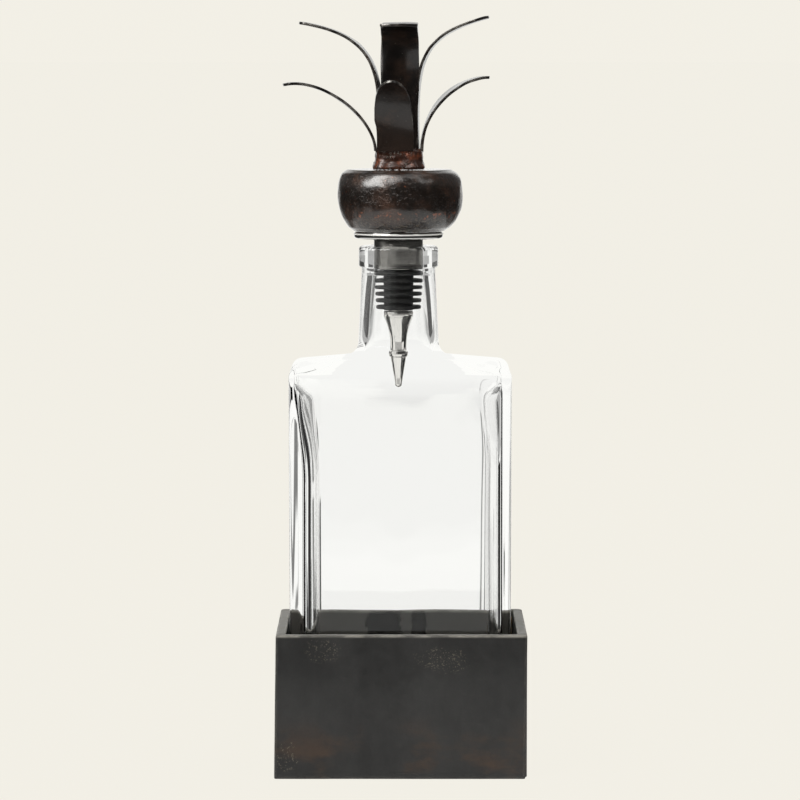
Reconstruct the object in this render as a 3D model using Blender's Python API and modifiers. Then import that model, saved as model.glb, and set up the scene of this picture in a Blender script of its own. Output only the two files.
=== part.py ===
"""A clear glass decanter in a welded steel box, closed by a bottle stopper that carries forged steel leaves.

Metres, +Z up. The origin is the middle of the box's underside, and the front of the box faces -Y.
Run with: blender --background --python part.py
"""

from dataclasses import dataclass
from math import cos, pi, radians, sin, tan

import bmesh
import bpy
from mathutils import Matrix, Vector

MM = 0.001
GAP = 0.3 * MM

# Steel box
BOX_HEIGHT = 61.2 * MM
WALL_PLATE = 4.3 * MM
FLOOR_PLATE = 4.3 * MM
PLATE_EDGE = 0.5 * MM
BACK_CORNER_RADIUS = 3.0 * MM
CORNER_WELD_LEG = 3.0 * MM
CORNER_WELD_BELOW_RIM = 3.0 * MM
FLOOR_WELD_LEG = 2.4 * MM
WELD_CROWN_SHARE = 0.14
WELD_POINT_COUNT = 5

# Glass bottle
BOTTLE_WIDTH = 94.3 * MM
BOTTLE_DEPTH = 76.5 * MM
BOTTLE_SHIFT = -0.6 * MM
BOTTLE_SIDE_CLEARANCE = 1.55 * MM
BOTTLE_END_CLEARANCE = 1.45 * MM
BOTTLE_CORNER = 10.0 * MM
BOTTLE_DRAFT = 0.5 * MM
GLASS_WALL = 5.5 * MM
GLASS_FLOOR = 13.0 * MM
GLASS_SHOULDER = 2.6 * MM
WALL_THICKENING = 38.0 * MM
CAVITY_CORNER = 7.0 * MM
FOOT_ROUNDING = 5.0 * MM
CAVITY_FLOOR_ROUNDING = 5.0 * MM
SHOULDER_HEIGHT = 168.3 * MM
SHOULDER_ROUNDING = 4.5 * MM
SHOULDER_ROUNDING_TURN = 78
SHOULDER_RISE = 3.2 * MM
BORE_RADIUS = 10.9 * MM
BORE_STRAIGHT = 13.5 * MM
BORE_WIDENING = 2.4 * MM
BORE_BEND = 0.7
NECK_WALL = 4.8 * MM
NECK_TAPER_DEGREES = 2.7
NECK_FILLET = 6.0 * MM
NECK_HEIGHT = 46.9 * MM
LIP_OVERHANG = 1.3 * MM
LIP_HEIGHT = 9.5 * MM
LIP_ROUNDING = 1.6 * MM
LIP_STEP = 0.2 * MM
LIP_UNDERSIDE = 1.3 * MM
MOUTH_ROUNDING = 0.8 * MM
CORNER_POINT_COUNT = 7

# Bottle stopper
STOPPER_SHIFT = -1.3 * MM
STOPPER_CLEARANCE = 0.4 * MM
STEM_SHOWN = 2.9 * MM
STEM_DEPTH = 9.9 * MM
STEM_EASE = 0.4 * MM
CORE_RADIUS = 4.2 * MM
SLEEVE_LENGTH = 17.2 * MM
RING_COUNT = 6
SLEEVE_TAPER = 1.0 * MM
SLEEVE_WALL = 1.7 * MM
SLEEVE_WALL_TAPER = 0.4 * MM
RING_THICKNESS = 1.7 * MM
RING_EDGE_EASE = 0.5 * MM
CONE_HEAD_RADIUS = 6.3 * MM
CONE_HEAD_LENGTH = 2.4 * MM
CONE_WAIST_RADIUS = 3.4 * MM
CONE_WAIST_LENGTH = 14.7 * MM
CONE_WAIST_HOLLOW = 2.4
BEAD_RADIUS = 4.15 * MM
BEAD_LENGTH = 2.9 * MM
CONE_TIP_RADIUS = 1.5 * MM
CONE_TIP_LENGTH = 13.0 * MM
FLANGE_RADIUS = 19.1 * MM
FLANGE_THICKNESS = 3.0 * MM
FLANGE_ROUNDING = 0.9 * MM
STUD_RADIUS = 3.2 * MM
STUD_IN_CORE = 8.0 * MM
STUD_IN_BALL = 14.0 * MM
STUD_CHAMFER = 0.6 * MM

# Forged ball and its weld
BALL_RADIUS = 26.7 * MM
BALL_HEIGHT = 26.0 * MM
BALL_SEAT_RADIUS = 20.3 * MM
BALL_TOP_RADIUS = 23.0 * MM
BALL_WAIST_SHARE = 0.59
BALL_UPPER_FULLNESS = 3.5
BALL_LOWER_FULLNESS = 2.4
COLLAR_SETBACK = 0.3 * MM
COLLAR_SPREAD = 1.4 * MM
COLLAR_CORNER = 5.0 * MM
COLLAR_HEIGHT = 7.4 * MM
COLLAR_ROUNDING = 0.7 * MM

# Forged leaves
LEAF_THICKNESS = 1.2 * MM
LEAF_WIDTH = 15.6 * MM
LOWER_FRONT_LEAF_WIDTH = 16.2 * MM
UPPER_ROOT_SHARE = 0.84
LOWER_ROOT_SHARE = 0.97
LEAF_ROOT_LENGTH = 30.0 * MM
LEAF_TURN_START = 0.15
LEAF_TURN_SPAN = 0.35
LEAF_SEAT_CLEARANCE = 0.3 * MM
TIER_CLEARANCE = 0.6 * MM
LEAF_STEP_COUNT = 18
LEAF_LINE_COUNT = 6
LEAF_SAMPLE_COUNT = 40

TURN_STEP_COUNT = 36


@dataclass
class Leaf:
    """One strip of sheet, bent outwards from an upright root.

    azimuth is the way its root faces, in degrees from +X, and root_share the root's part of the full width.
    turn is how far the leaf swings round the stopper's axis on the way to its tip. reach and rise place the
    tip, from the axis and from the root. root_pull and tip_pull are the lengths of the curve's handles,
    tip_slope the rise of its last stretch in degrees, and tip_length the length over which its outline
    closes in a half ellipse. slide moves the whole leaf sideways.
    """

    name: str
    tier_offset: float
    root_share: float
    azimuth: float
    turn: float
    reach: float
    rise: float
    root_pull: float
    tip_pull: float
    tip_slope: float
    tip_length: float
    slide: float = 0.0
    width: float = LEAF_WIDTH


UPPER_LEAF_OFFSET = LEAF_WIDTH / 2 + LEAF_SEAT_CLEARANCE
LOWER_LEAF_OFFSET = UPPER_LEAF_OFFSET + LEAF_THICKNESS + TIER_CLEARANCE

UPPER_LEAVES = (
    Leaf(
        "upper_leaf_left", UPPER_LEAF_OFFSET, UPPER_ROOT_SHARE, azimuth=177, turn=-0.6,
        reach=42.4 * MM, rise=54.3 * MM, root_pull=28.0 * MM,
        tip_pull=39.0 * MM, tip_slope=8, tip_length=2.0 * MM,
    ),
    Leaf(
        "upper_leaf_right", UPPER_LEAF_OFFSET, UPPER_ROOT_SHARE, azimuth=-3, turn=-1.0,
        reach=38.6 * MM, rise=56.8 * MM, root_pull=35.0 * MM,
        tip_pull=34.0 * MM, tip_slope=14, tip_length=3.0 * MM,
    ),
    Leaf(
        "upper_leaf_front", UPPER_LEAF_OFFSET, UPPER_ROOT_SHARE, azimuth=267, turn=0.8,
        reach=37.0 * MM, rise=53.3 * MM, root_pull=26.0 * MM,
        tip_pull=33.0 * MM, tip_slope=5, tip_length=1.5 * MM,
        slide=1.4 * MM,
    ),
    Leaf(
        "upper_leaf_back", UPPER_LEAF_OFFSET, UPPER_ROOT_SHARE, azimuth=87, turn=1.8,
        reach=39.0 * MM, rise=54.2 * MM, root_pull=24.0 * MM,
        tip_pull=33.0 * MM, tip_slope=5, tip_length=2.0 * MM,
    ),
)
LOWER_LEAVES = (
    Leaf(
        "lower_leaf_left", LOWER_LEAF_OFFSET, LOWER_ROOT_SHARE, azimuth=181, turn=2.5,
        reach=49.3 * MM, rise=28.0 * MM, root_pull=13.9 * MM,
        tip_pull=16.8 * MM, tip_slope=-14, tip_length=3.0 * MM,
    ),
    Leaf(
        "lower_leaf_right", LOWER_LEAF_OFFSET, LOWER_ROOT_SHARE, azimuth=1, turn=5.0,
        reach=38.9 * MM, rise=31.1 * MM, root_pull=20.0 * MM,
        tip_pull=11.9 * MM, tip_slope=-2, tip_length=2.0 * MM,
    ),
    Leaf(
        "lower_leaf_front", LOWER_LEAF_OFFSET, LOWER_ROOT_SHARE, azimuth=271, turn=-4.5,
        reach=27.0 * MM, rise=29.8 * MM, root_pull=14.0 * MM,
        tip_pull=12.0 * MM, tip_slope=28, tip_length=22.0 * MM,
        slide=-1.5 * MM, width=LOWER_FRONT_LEAF_WIDTH,
    ),
    Leaf(
        "lower_leaf_back", LOWER_LEAF_OFFSET, LOWER_ROOT_SHARE, azimuth=91, turn=2.0,
        reach=40.0 * MM, rise=27.2 * MM, root_pull=16.0 * MM,
        tip_pull=15.0 * MM, tip_slope=-6, tip_length=8.0 * MM,
    ),
)

# Widths, radii and heights that follow from the sizes above
INNER_HALF_WIDTH = BOTTLE_WIDTH / 2 + BOTTLE_SIDE_CLEARANCE
INNER_HALF_DEPTH = BOTTLE_DEPTH / 2 + BOTTLE_END_CLEARANCE
BOX_WIDTH = 2 * (INNER_HALF_WIDTH + WALL_PLATE)
BOX_DEPTH = 2 * (INNER_HALF_DEPTH + WALL_PLATE)
NECK_RADIUS = BORE_RADIUS + NECK_WALL
LIP_RADIUS = NECK_RADIUS + LIP_OVERHANG
COLLAR_TOP_HALF_WIDTH = LOWER_LEAF_OFFSET + LEAF_THICKNESS / 2 - COLLAR_SETBACK
COLLAR_HALF_WIDTH = COLLAR_TOP_HALF_WIDTH + COLLAR_SPREAD
BOTTLE_FOOT = FLOOR_PLATE + GAP
SHOULDER_EDGE = BOTTLE_FOOT + SHOULDER_HEIGHT
NECK_BASE = SHOULDER_EDGE + SHOULDER_RISE
LIP_TOP = NECK_BASE + NECK_HEIGHT
STEM_RADIUS = BORE_RADIUS - STOPPER_CLEARANCE
FLANGE_UNDERSIDE = LIP_TOP + STEM_SHOWN
STEM_BOTTOM = LIP_TOP - STEM_DEPTH
SLEEVE_TOP = STEM_BOTTOM - GAP
SLEEVE_BOTTOM = SLEEVE_TOP - SLEEVE_LENGTH
CONE_TOP = SLEEVE_BOTTOM - GAP
FLANGE_TOP = FLANGE_UNDERSIDE + GAP + FLANGE_THICKNESS
BALL_BOTTOM = FLANGE_TOP + GAP
BALL_TOP = BALL_BOTTOM + BALL_HEIGHT
COLLAR_BOTTOM = BALL_TOP + GAP
COLLAR_TOP = COLLAR_BOTTOM + COLLAR_HEIGHT
LEAF_ROOT = COLLAR_TOP + GAP


def clear_scene():
    """Removes what a new scene starts with."""
    for obj in list(bpy.data.objects):
        bpy.data.objects.remove(obj, do_unlink=True)


def new_collection(name):
    """Adds a collection to the scene."""
    collection = bpy.data.collections.new(name)
    bpy.context.scene.collection.children.link(collection)
    return collection


def make_material(name, colour, roughness, metallic, transmission=0.0):
    """Returns a Principled material of one colour."""
    material = bpy.data.materials.new(name)
    material.use_nodes = True
    shader = material.node_tree.nodes["Principled BSDF"]
    shader.inputs["Base Color"].default_value = (*colour, 1.0)
    shader.inputs["Roughness"].default_value = roughness
    shader.inputs["Metallic"].default_value = metallic
    shader.inputs["Transmission Weight"].default_value = transmission
    material.diffuse_color = (*colour, 1.0)
    return material


def world_place(empty):
    """World position of an empty, summed along its parents, since none of them is turned or scaled."""
    place = empty.location.copy()
    while empty.parent:
        empty = empty.parent
        place += empty.location
    return place


def finish_object(name, mesh, parent, location, material, smooth_angle=35):
    """Links a mesh as the named sub-part, placed at a world location under its parent."""
    obj = bpy.data.objects.new(name, mesh)
    PARTS.objects.link(obj)
    obj.parent = parent
    obj.location = Vector(location) - world_place(parent)
    mesh.materials.append(material)
    mesh.shade_smooth()
    mesh.set_sharp_from_angle(angle=radians(smooth_angle))
    return obj


def add_empty(name, location, parent=None):
    """Adds an empty that marks a joint's axis, or the piece that stays still."""
    empty = bpy.data.objects.new(name, None)
    PARTS.objects.link(empty)
    empty.location = location
    if parent:
        empty.parent = parent
        empty.location = Vector(location) - world_place(parent)
    return empty


def add_plate(name, size, centre, material, rounded_back=0.0):
    """Adds a flat plate with eased edges, and with rounded back corners where a radius is given."""
    form = bmesh.new()
    bmesh.ops.create_cube(form, size=1.0)
    bmesh.ops.scale(form, vec=size, verts=form.verts)
    if rounded_back:
        upright = [edge for edge in form.edges if abs(edge.verts[0].co.z - edge.verts[1].co.z) > GAP]
        corners = [edge for edge in upright if all(vert.co.y > 0 for vert in edge.verts)]
        bmesh.ops.bevel(form, geom=corners, offset=rounded_back, segments=4, profile=0.5, affect="EDGES")
    mesh = bpy.data.meshes.new(name)
    form.to_mesh(mesh)
    form.free()
    plate = finish_object(name, mesh, BOX_ROOT, centre, material)
    easing = plate.modifiers.new("eased_edges", "BEVEL")
    easing.width = PLATE_EDGE
    easing.segments = 2
    easing.limit_method = "ANGLE"
    easing.angle_limit = radians(40)
    return plate


def add_weld(name, leg, length, corner, turned, material):
    """Adds a slightly crowned fillet weld along an inside corner.

    The bead's section lies in a plane across its run. The columns of turned are the directions of its first
    leg, its second leg and its run.
    """
    section = [(0.0, 0.0)]
    for step in range(WELD_POINT_COUNT):
        angle = step / (WELD_POINT_COUNT - 1) * pi / 2
        crown = leg * (1 + WELD_CROWN_SHARE * sin(2 * angle)) / (cos(angle) + sin(angle))
        section.append((crown * cos(angle), crown * sin(angle)))
    outline = bpy.data.curves.new(name + "_outline", "CURVE")
    outline.dimensions = "2D"
    outline.fill_mode = "BOTH"
    outline.extrude = length / 2
    spline = outline.splines.new("POLY")
    spline.points.add(len(section) - 1)
    for point, (x, y) in zip(spline.points, section):
        point.co = (x, y, 0.0, 1.0)
    spline.use_cyclic_u = True
    guide = bpy.data.objects.new(name + "_guide", outline)
    bpy.context.scene.collection.objects.link(guide)
    evaluated = guide.evaluated_get(bpy.context.evaluated_depsgraph_get())
    mesh = bpy.data.meshes.new_from_object(evaluated)
    bpy.data.objects.remove(guide, do_unlink=True)
    form = bmesh.new()
    form.from_mesh(mesh)
    bmesh.ops.remove_doubles(form, verts=form.verts, dist=0.00001)
    bmesh.ops.transform(form, matrix=turned.to_4x4(), verts=form.verts)
    bmesh.ops.recalc_face_normals(form, faces=form.faces)
    form.to_mesh(mesh)
    form.free()
    mesh.name = name
    return finish_object(name, mesh, BOX_ROOT, corner, material)


def section_points(half_x, half_y, radius, centre_x, height):
    """Returns one ring of a rounded rectangle, which is a circle where both halves equal the radius."""
    points = []
    for quarter in range(4):
        start = quarter * pi / 2
        along = half_x if quarter % 2 == 0 else half_y
        points.append(Vector((along * cos(start), along * sin(start), 0.0)))
        sign_x = 1 if quarter in (0, 3) else -1
        sign_y = 1 if quarter in (0, 1) else -1
        corner = Vector((sign_x * (half_x - radius), sign_y * (half_y - radius), 0.0))
        for step in range(CORNER_POINT_COUNT):
            angle = start + (step + 0.5) / CORNER_POINT_COUNT * pi / 2
            points.append(corner + Vector((radius * cos(angle), radius * sin(angle), 0.0)))
    shift = Vector((centre_x, 0.0, height))
    return [point + shift for point in points]


def loft(name, rings):
    """Joins rings of equal count into a closed surface, with a flat cap on the first and the last."""
    form = bmesh.new()
    rows = [[form.verts.new(point) for point in ring] for ring in rings]
    count = len(rows[0])
    for lower, upper in zip(rows, rows[1:]):
        for i in range(count):
            j = (i + 1) % count
            form.faces.new((lower[i], lower[j], upper[j], upper[i]))
    form.faces.new(list(reversed(rows[0])))
    form.faces.new(rows[-1])
    bmesh.ops.recalc_face_normals(form, faces=form.faces)
    mesh = bpy.data.meshes.new(name)
    form.to_mesh(mesh)
    form.free()
    return mesh


def neck_radius_at(height):
    """Outer radius of the tapered neck, before its fillet and its lip."""
    return NECK_RADIUS + (LIP_TOP - LIP_HEIGHT - height) * tan(radians(NECK_TAPER_DEGREES))


def mix(first, second, share):
    """Value between two others."""
    return first + (second - first) * share


def ease(share):
    """Smooth step from 0 to 1."""
    held = min(max(share, 0.0), 1.0)
    return held * held * (3 - 2 * held)


def bottle_rings():
    """Rings of the bottle, from its foot up the outside and down the inside to the cavity's floor."""
    half_x, half_y = BOTTLE_WIDTH / 2, BOTTLE_DEPTH / 2
    rings = []

    def body(inset, corner, height, face=None):
        radius = max(corner - inset, MM)
        face = inset if face is None else face
        rings.append(section_points(half_x - inset, half_y - face, radius, BOTTLE_SHIFT, height))

    def turned(radius, height):
        rings.append(section_points(radius, radius, radius, STOPPER_SHIFT, height))

    def shoulder(inset, corner, radius, share, height):
        flare = mix(max(corner - inset, MM), radius, share)
        rings.append(
            section_points(
                mix(half_x - inset, radius, share),
                mix(half_y - inset, radius, share),
                flare,
                mix(BOTTLE_SHIFT, STOPPER_SHIFT, share),
                height,
            )
        )

    for step in range(4):
        angle = step / 3 * pi / 2
        inset = BOTTLE_DRAFT + FOOT_ROUNDING * (1 - sin(angle))
        body(inset, BOTTLE_CORNER, BOTTLE_FOOT + FOOT_ROUNDING * (1 - cos(angle)))
    for step in range(4):
        angle = step / 3 * radians(SHOULDER_ROUNDING_TURN)
        drop = SHOULDER_ROUNDING * (1 - sin(angle))
        body(SHOULDER_ROUNDING * (1 - cos(angle)), BOTTLE_CORNER, SHOULDER_EDGE - drop)
    neck_foot = neck_radius_at(NECK_BASE + NECK_FILLET)
    for step in range(1, 4):
        share = step / 4
        height = SHOULDER_EDGE + SHOULDER_RISE * share
        shoulder(SHOULDER_ROUNDING, BOTTLE_CORNER, neck_foot + NECK_FILLET, share, height)
    for step in range(5):
        angle = step / 4 * pi / 2
        turned(neck_foot + NECK_FILLET * (1 - sin(angle)), NECK_BASE + NECK_FILLET * (1 - cos(angle)))
    lip_bottom = LIP_TOP - LIP_HEIGHT
    neck_middle = mix(NECK_BASE + NECK_FILLET, lip_bottom, 0.5)
    turned(neck_radius_at(neck_middle), neck_middle)
    turned(NECK_RADIUS, lip_bottom)
    for step in range(4):
        angle = step / 3 * pi / 2
        under = LIP_RADIUS - (LIP_RADIUS - NECK_RADIUS) * (1 - sin(angle))
        turned(under, lip_bottom + LIP_STEP + LIP_UNDERSIDE * (1 - cos(angle)))
    for step in range(4):
        angle = step / 3 * pi / 2
        turned(LIP_RADIUS - LIP_ROUNDING * (1 - cos(angle)), LIP_TOP - LIP_ROUNDING * (1 - sin(angle)))
    for step in range(3):
        angle = step / 2 * pi / 2
        turned(BORE_RADIUS + MOUTH_ROUNDING * (1 - sin(angle)), LIP_TOP - MOUTH_ROUNDING * (1 - cos(angle)))

    cavity_edge = SHOULDER_EDGE - GLASS_SHOULDER
    flare_radius = neck_foot + NECK_FILLET
    flare_top = NECK_BASE + NECK_FILLET
    flare_height = NECK_FILLET + GLASS_SHOULDER
    for step in range(4):
        share = step / 4
        turned(BORE_RADIUS + BORE_WIDENING * share**BORE_BEND, mix(LIP_TOP - BORE_STRAIGHT, flare_top, share))
    for step in range(5):
        angle = step / 4 * pi / 2
        radius = mix(BORE_RADIUS + BORE_WIDENING, flare_radius, 1 - cos(angle))
        turned(radius, flare_top - flare_height * sin(angle))
    cavity_corner = CAVITY_CORNER + GLASS_WALL
    for step in range(3, 0, -1):
        share = step / 4
        shoulder(SHOULDER_ROUNDING, cavity_corner, flare_radius, share, cavity_edge + SHOULDER_RISE * share)
    cavity_rounding = SHOULDER_ROUNDING - GLASS_SHOULDER
    for step in range(4):
        angle = step / 3 * radians(SHOULDER_ROUNDING_TURN)
        inset = GLASS_SHOULDER + cavity_rounding * (1 - cos(radians(SHOULDER_ROUNDING_TURN) - angle))
        drop = cavity_rounding * (1 - sin(radians(SHOULDER_ROUNDING_TURN) - angle))
        body(inset, cavity_corner, cavity_edge - drop)
    for step in range(1, 5):
        share = step / 4
        inset = mix(GLASS_SHOULDER, GLASS_WALL, ease(share))
        body(inset, cavity_corner, cavity_edge - cavity_rounding - WALL_THICKENING * share, GLASS_SHOULDER)
    cavity_floor = BOTTLE_FOOT + GLASS_FLOOR
    for step in range(4):
        angle = step / 3 * pi / 2
        turn = CAVITY_FLOOR_ROUNDING * (1 - cos(angle))
        height = cavity_floor + CAVITY_FLOOR_ROUNDING * (1 - sin(angle))
        body(GLASS_WALL + turn, cavity_corner, height, GLASS_SHOULDER + turn)
    return rings


def add_turned(name, profile, parent, material, closed=False, steps=TURN_STEP_COUNT, smooth_angle=35):
    """Adds a piece turned round the stopper's axis, from a profile that runs down its outer side."""
    mesh = bpy.data.meshes.new(name)
    edges = [(i, i + 1) for i in range(len(profile) - 1)]
    if closed:
        edges.append((len(profile) - 1, 0))
    mesh.from_pydata([(radius, 0.0, height) for radius, height in profile], edges, [])
    obj = finish_object(name, mesh, parent, (STOPPER_SHIFT, 0.0, 0.0), material, smooth_angle)
    turning = obj.modifiers.new("turning", "SCREW")
    turning.axis = "Z"
    turning.angle = 2 * pi
    turning.steps = steps
    turning.render_steps = steps
    turning.use_merge_vertices = True
    turning.merge_threshold = 0.00001
    turning.use_smooth_shade = True
    return obj


def arc(centre_radius, centre_height, size, first, last, points):
    """Points on a circle in the turning plane, between two angles in degrees, 0 outwards and 90 up."""
    found = []
    for step in range(points):
        angle = radians(mix(first, last, step / (points - 1)))
        found.append((centre_radius + size * cos(angle), centre_height + size * sin(angle)))
    return found


def cone_profile():
    """Stem, core, head, waist, bead and tip of the stopper's metal body, with the stud's hole on top."""
    head_bottom = CONE_TOP - CONE_HEAD_LENGTH
    waist = head_bottom - CONE_WAIST_LENGTH
    bead_middle = waist - BEAD_LENGTH / 2
    tip_start = waist - BEAD_LENGTH
    tip_bottom = tip_start - CONE_TIP_LENGTH
    hole_radius = STUD_RADIUS + GAP
    hole_bottom = FLANGE_UNDERSIDE - STUD_IN_CORE - GAP
    profile = [(hole_radius, FLANGE_UNDERSIDE), (STEM_RADIUS, FLANGE_UNDERSIDE)]
    profile += [(STEM_RADIUS, STEM_BOTTOM + STEM_EASE), (STEM_RADIUS - STEM_EASE, STEM_BOTTOM)]
    profile += [(CORE_RADIUS, STEM_BOTTOM), (CORE_RADIUS, CONE_TOP)]
    profile += [(CONE_HEAD_RADIUS, CONE_TOP), (CONE_HEAD_RADIUS, head_bottom)]
    for step in range(1, 7):
        share = step / 6
        radius = mix(CONE_WAIST_RADIUS, CONE_HEAD_RADIUS, (1 - share) ** CONE_WAIST_HOLLOW)
        profile.append((radius, mix(head_bottom, waist, share)))
    bead_depth = BEAD_RADIUS - CONE_WAIST_RADIUS
    for angle in (-45, 0, 45):
        profile.append(
            (
                CONE_WAIST_RADIUS + bead_depth * cos(radians(angle)),
                bead_middle - BEAD_LENGTH / 2 * sin(radians(angle)),
            )
        )
    profile.append((CONE_WAIST_RADIUS, tip_start))
    profile += arc(0.0, tip_bottom + CONE_TIP_RADIUS, CONE_TIP_RADIUS, 0, -90, 4)
    profile[-1] = (0.0, tip_bottom)
    return [(0.0, hole_bottom), (hole_radius, hole_bottom)] + profile


def sleeve_profile():
    """Ringed outside and plain bore of the rubber sleeve, as a closed loop."""
    inner = CORE_RADIUS + GAP
    pitch = SLEEVE_LENGTH / RING_COUNT
    profile = [(inner, SLEEVE_TOP)]
    for ring in range(RING_COUNT):
        middle = SLEEVE_TOP - pitch * (ring + 0.5)
        share = ring / (RING_COUNT - 1)
        outer = STEM_RADIUS - SLEEVE_TAPER * share
        valley = inner + SLEEVE_WALL - SLEEVE_WALL_TAPER * share
        profile.append((valley, middle + pitch / 2 - (GAP if ring else 0.0)))
        profile.append((outer - RING_EDGE_EASE, middle + RING_THICKNESS / 2))
        profile.append((outer, middle))
        profile.append((outer - RING_EDGE_EASE, middle - RING_THICKNESS / 2))
        profile.append((valley, middle - pitch / 2 + (GAP if ring < RING_COUNT - 1 else 0.0)))
    profile.append((inner, SLEEVE_BOTTOM))
    return profile


def flange_profile():
    """Disc with a rounded rim and a hole for the stud, as a closed loop."""
    bottom = FLANGE_UNDERSIDE + GAP
    hole = STUD_RADIUS + GAP
    profile = [(hole, FLANGE_TOP)]
    profile += arc(FLANGE_RADIUS - FLANGE_ROUNDING, FLANGE_TOP - FLANGE_ROUNDING, FLANGE_ROUNDING, 90, 0, 4)
    profile += arc(FLANGE_RADIUS - FLANGE_ROUNDING, bottom + FLANGE_ROUNDING, FLANGE_ROUNDING, 0, -90, 4)
    profile.append((hole, bottom))
    return profile


def stud_profile():
    """Plain screw with chamfered ends, from inside the ball down into the stopper's core."""
    top = BALL_BOTTOM + STUD_IN_BALL
    bottom = FLANGE_UNDERSIDE - STUD_IN_CORE
    return [
        (0.0, top),
        (STUD_RADIUS - STUD_CHAMFER, top),
        (STUD_RADIUS, top - STUD_CHAMFER),
        (STUD_RADIUS, bottom + STUD_CHAMFER),
        (STUD_RADIUS - STUD_CHAMFER, bottom),
        (0.0, bottom),
    ]


def ball_profile():
    """Flattened ball with a flat seat, a flat top and the stud's hole in its underside."""
    waist = BALL_BOTTOM + BALL_HEIGHT * BALL_WAIST_SHARE
    profile = [(0.0, BALL_TOP)]
    for share in (1.0, 0.86, 0.66, 0.4, 0.0):
        radius = mix(BALL_RADIUS, BALL_TOP_RADIUS, share**BALL_UPPER_FULLNESS)
        profile.append((radius, mix(waist, BALL_TOP, share)))
    for share in (0.25, 0.45, 0.64, 0.82, 1.0):
        radius = mix(BALL_RADIUS, BALL_SEAT_RADIUS, share**BALL_LOWER_FULLNESS)
        profile.append((radius, mix(waist, BALL_BOTTOM, share)))
    hole = STUD_RADIUS + GAP
    hole_top = BALL_BOTTOM + STUD_IN_BALL + GAP
    return profile + [(hole, BALL_BOTTOM), (hole, hole_top), (0.0, hole_top)]


def collar_rings():
    """Rings of the squarish weld lump, from its foot on the ball to its top under the leaves."""
    rings = []
    for step in range(4):
        share = step / 3
        half = mix(COLLAR_HALF_WIDTH, COLLAR_TOP_HALF_WIDTH, share)
        height = mix(COLLAR_BOTTOM, COLLAR_TOP - COLLAR_ROUNDING, share)
        rings.append(section_points(half, half, COLLAR_CORNER, STOPPER_SHIFT, height))
    for angle in (45, 90):
        inset = COLLAR_ROUNDING * (1 - cos(radians(angle)))
        half = COLLAR_TOP_HALF_WIDTH - inset
        height = COLLAR_TOP - COLLAR_ROUNDING * (1 - sin(radians(angle)))
        rings.append(section_points(half, half, COLLAR_CORNER - inset, STOPPER_SHIFT, height))
    return rings


def leaf_path(leaf, share):
    """Distance from the axis and height of the leaf's middle surface, at a share of its curve."""
    root = Vector((leaf.tier_offset, LEAF_ROOT))
    tip = Vector((leaf.reach, LEAF_ROOT + leaf.rise))
    slope = radians(leaf.tip_slope)
    root_handle = root + Vector((0.0, leaf.root_pull))
    tip_handle = tip - Vector((cos(slope), sin(slope))) * leaf.tip_pull
    rest = 1 - share
    lower = root * rest**3 + root_handle * 3 * rest**2 * share
    return lower + tip_handle * 3 * rest * share**2 + tip * share**3


def leaf_length(leaf):
    """Length of the leaf along its bend."""
    points = [leaf_path(leaf, i / LEAF_SAMPLE_COUNT) for i in range(LEAF_SAMPLE_COUNT + 1)]
    return sum((after - before).length for before, after in zip(points, points[1:]))


def add_leaf(leaf, parent, material):
    """Adds one leaf: a flat grid laid along its curve, rounded at the tip, then given its thickness."""
    form = bmesh.new()
    bmesh.ops.create_grid(form, x_segments=LEAF_STEP_COUNT, y_segments=LEAF_LINE_COUNT, size=1.0)
    length = leaf_length(leaf)
    for vert in form.verts:
        across = vert.co.y
        end_line = 1 - leaf.tip_length / length * (1 - (1 - across**2) ** 0.5)
        share = (vert.co.x + 1) / 2 * end_line
        reach, height = leaf_path(leaf, share)
        swing = radians(leaf.azimuth + leaf.turn * ease((share - LEAF_TURN_START) / LEAF_TURN_SPAN))
        width = leaf.width * mix(leaf.root_share, 1.0, ease(share * length / LEAF_ROOT_LENGTH))
        side = across * width / 2 + leaf.slide
        vert.co = (
            reach * cos(swing) - side * sin(swing),
            reach * sin(swing) + side * cos(swing),
            height,
        )
    mesh = bpy.data.meshes.new(leaf.name)
    bmesh.ops.recalc_face_normals(form, faces=form.faces)
    form.to_mesh(mesh)
    form.free()
    obj = finish_object(leaf.name, mesh, parent, (STOPPER_SHIFT, 0.0, 0.0), material)
    sheet = obj.modifiers.new("sheet", "SOLIDIFY")
    sheet.thickness = LEAF_THICKNESS
    sheet.offset = 0.0
    sheet.use_even_offset = True
    return obj


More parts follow.
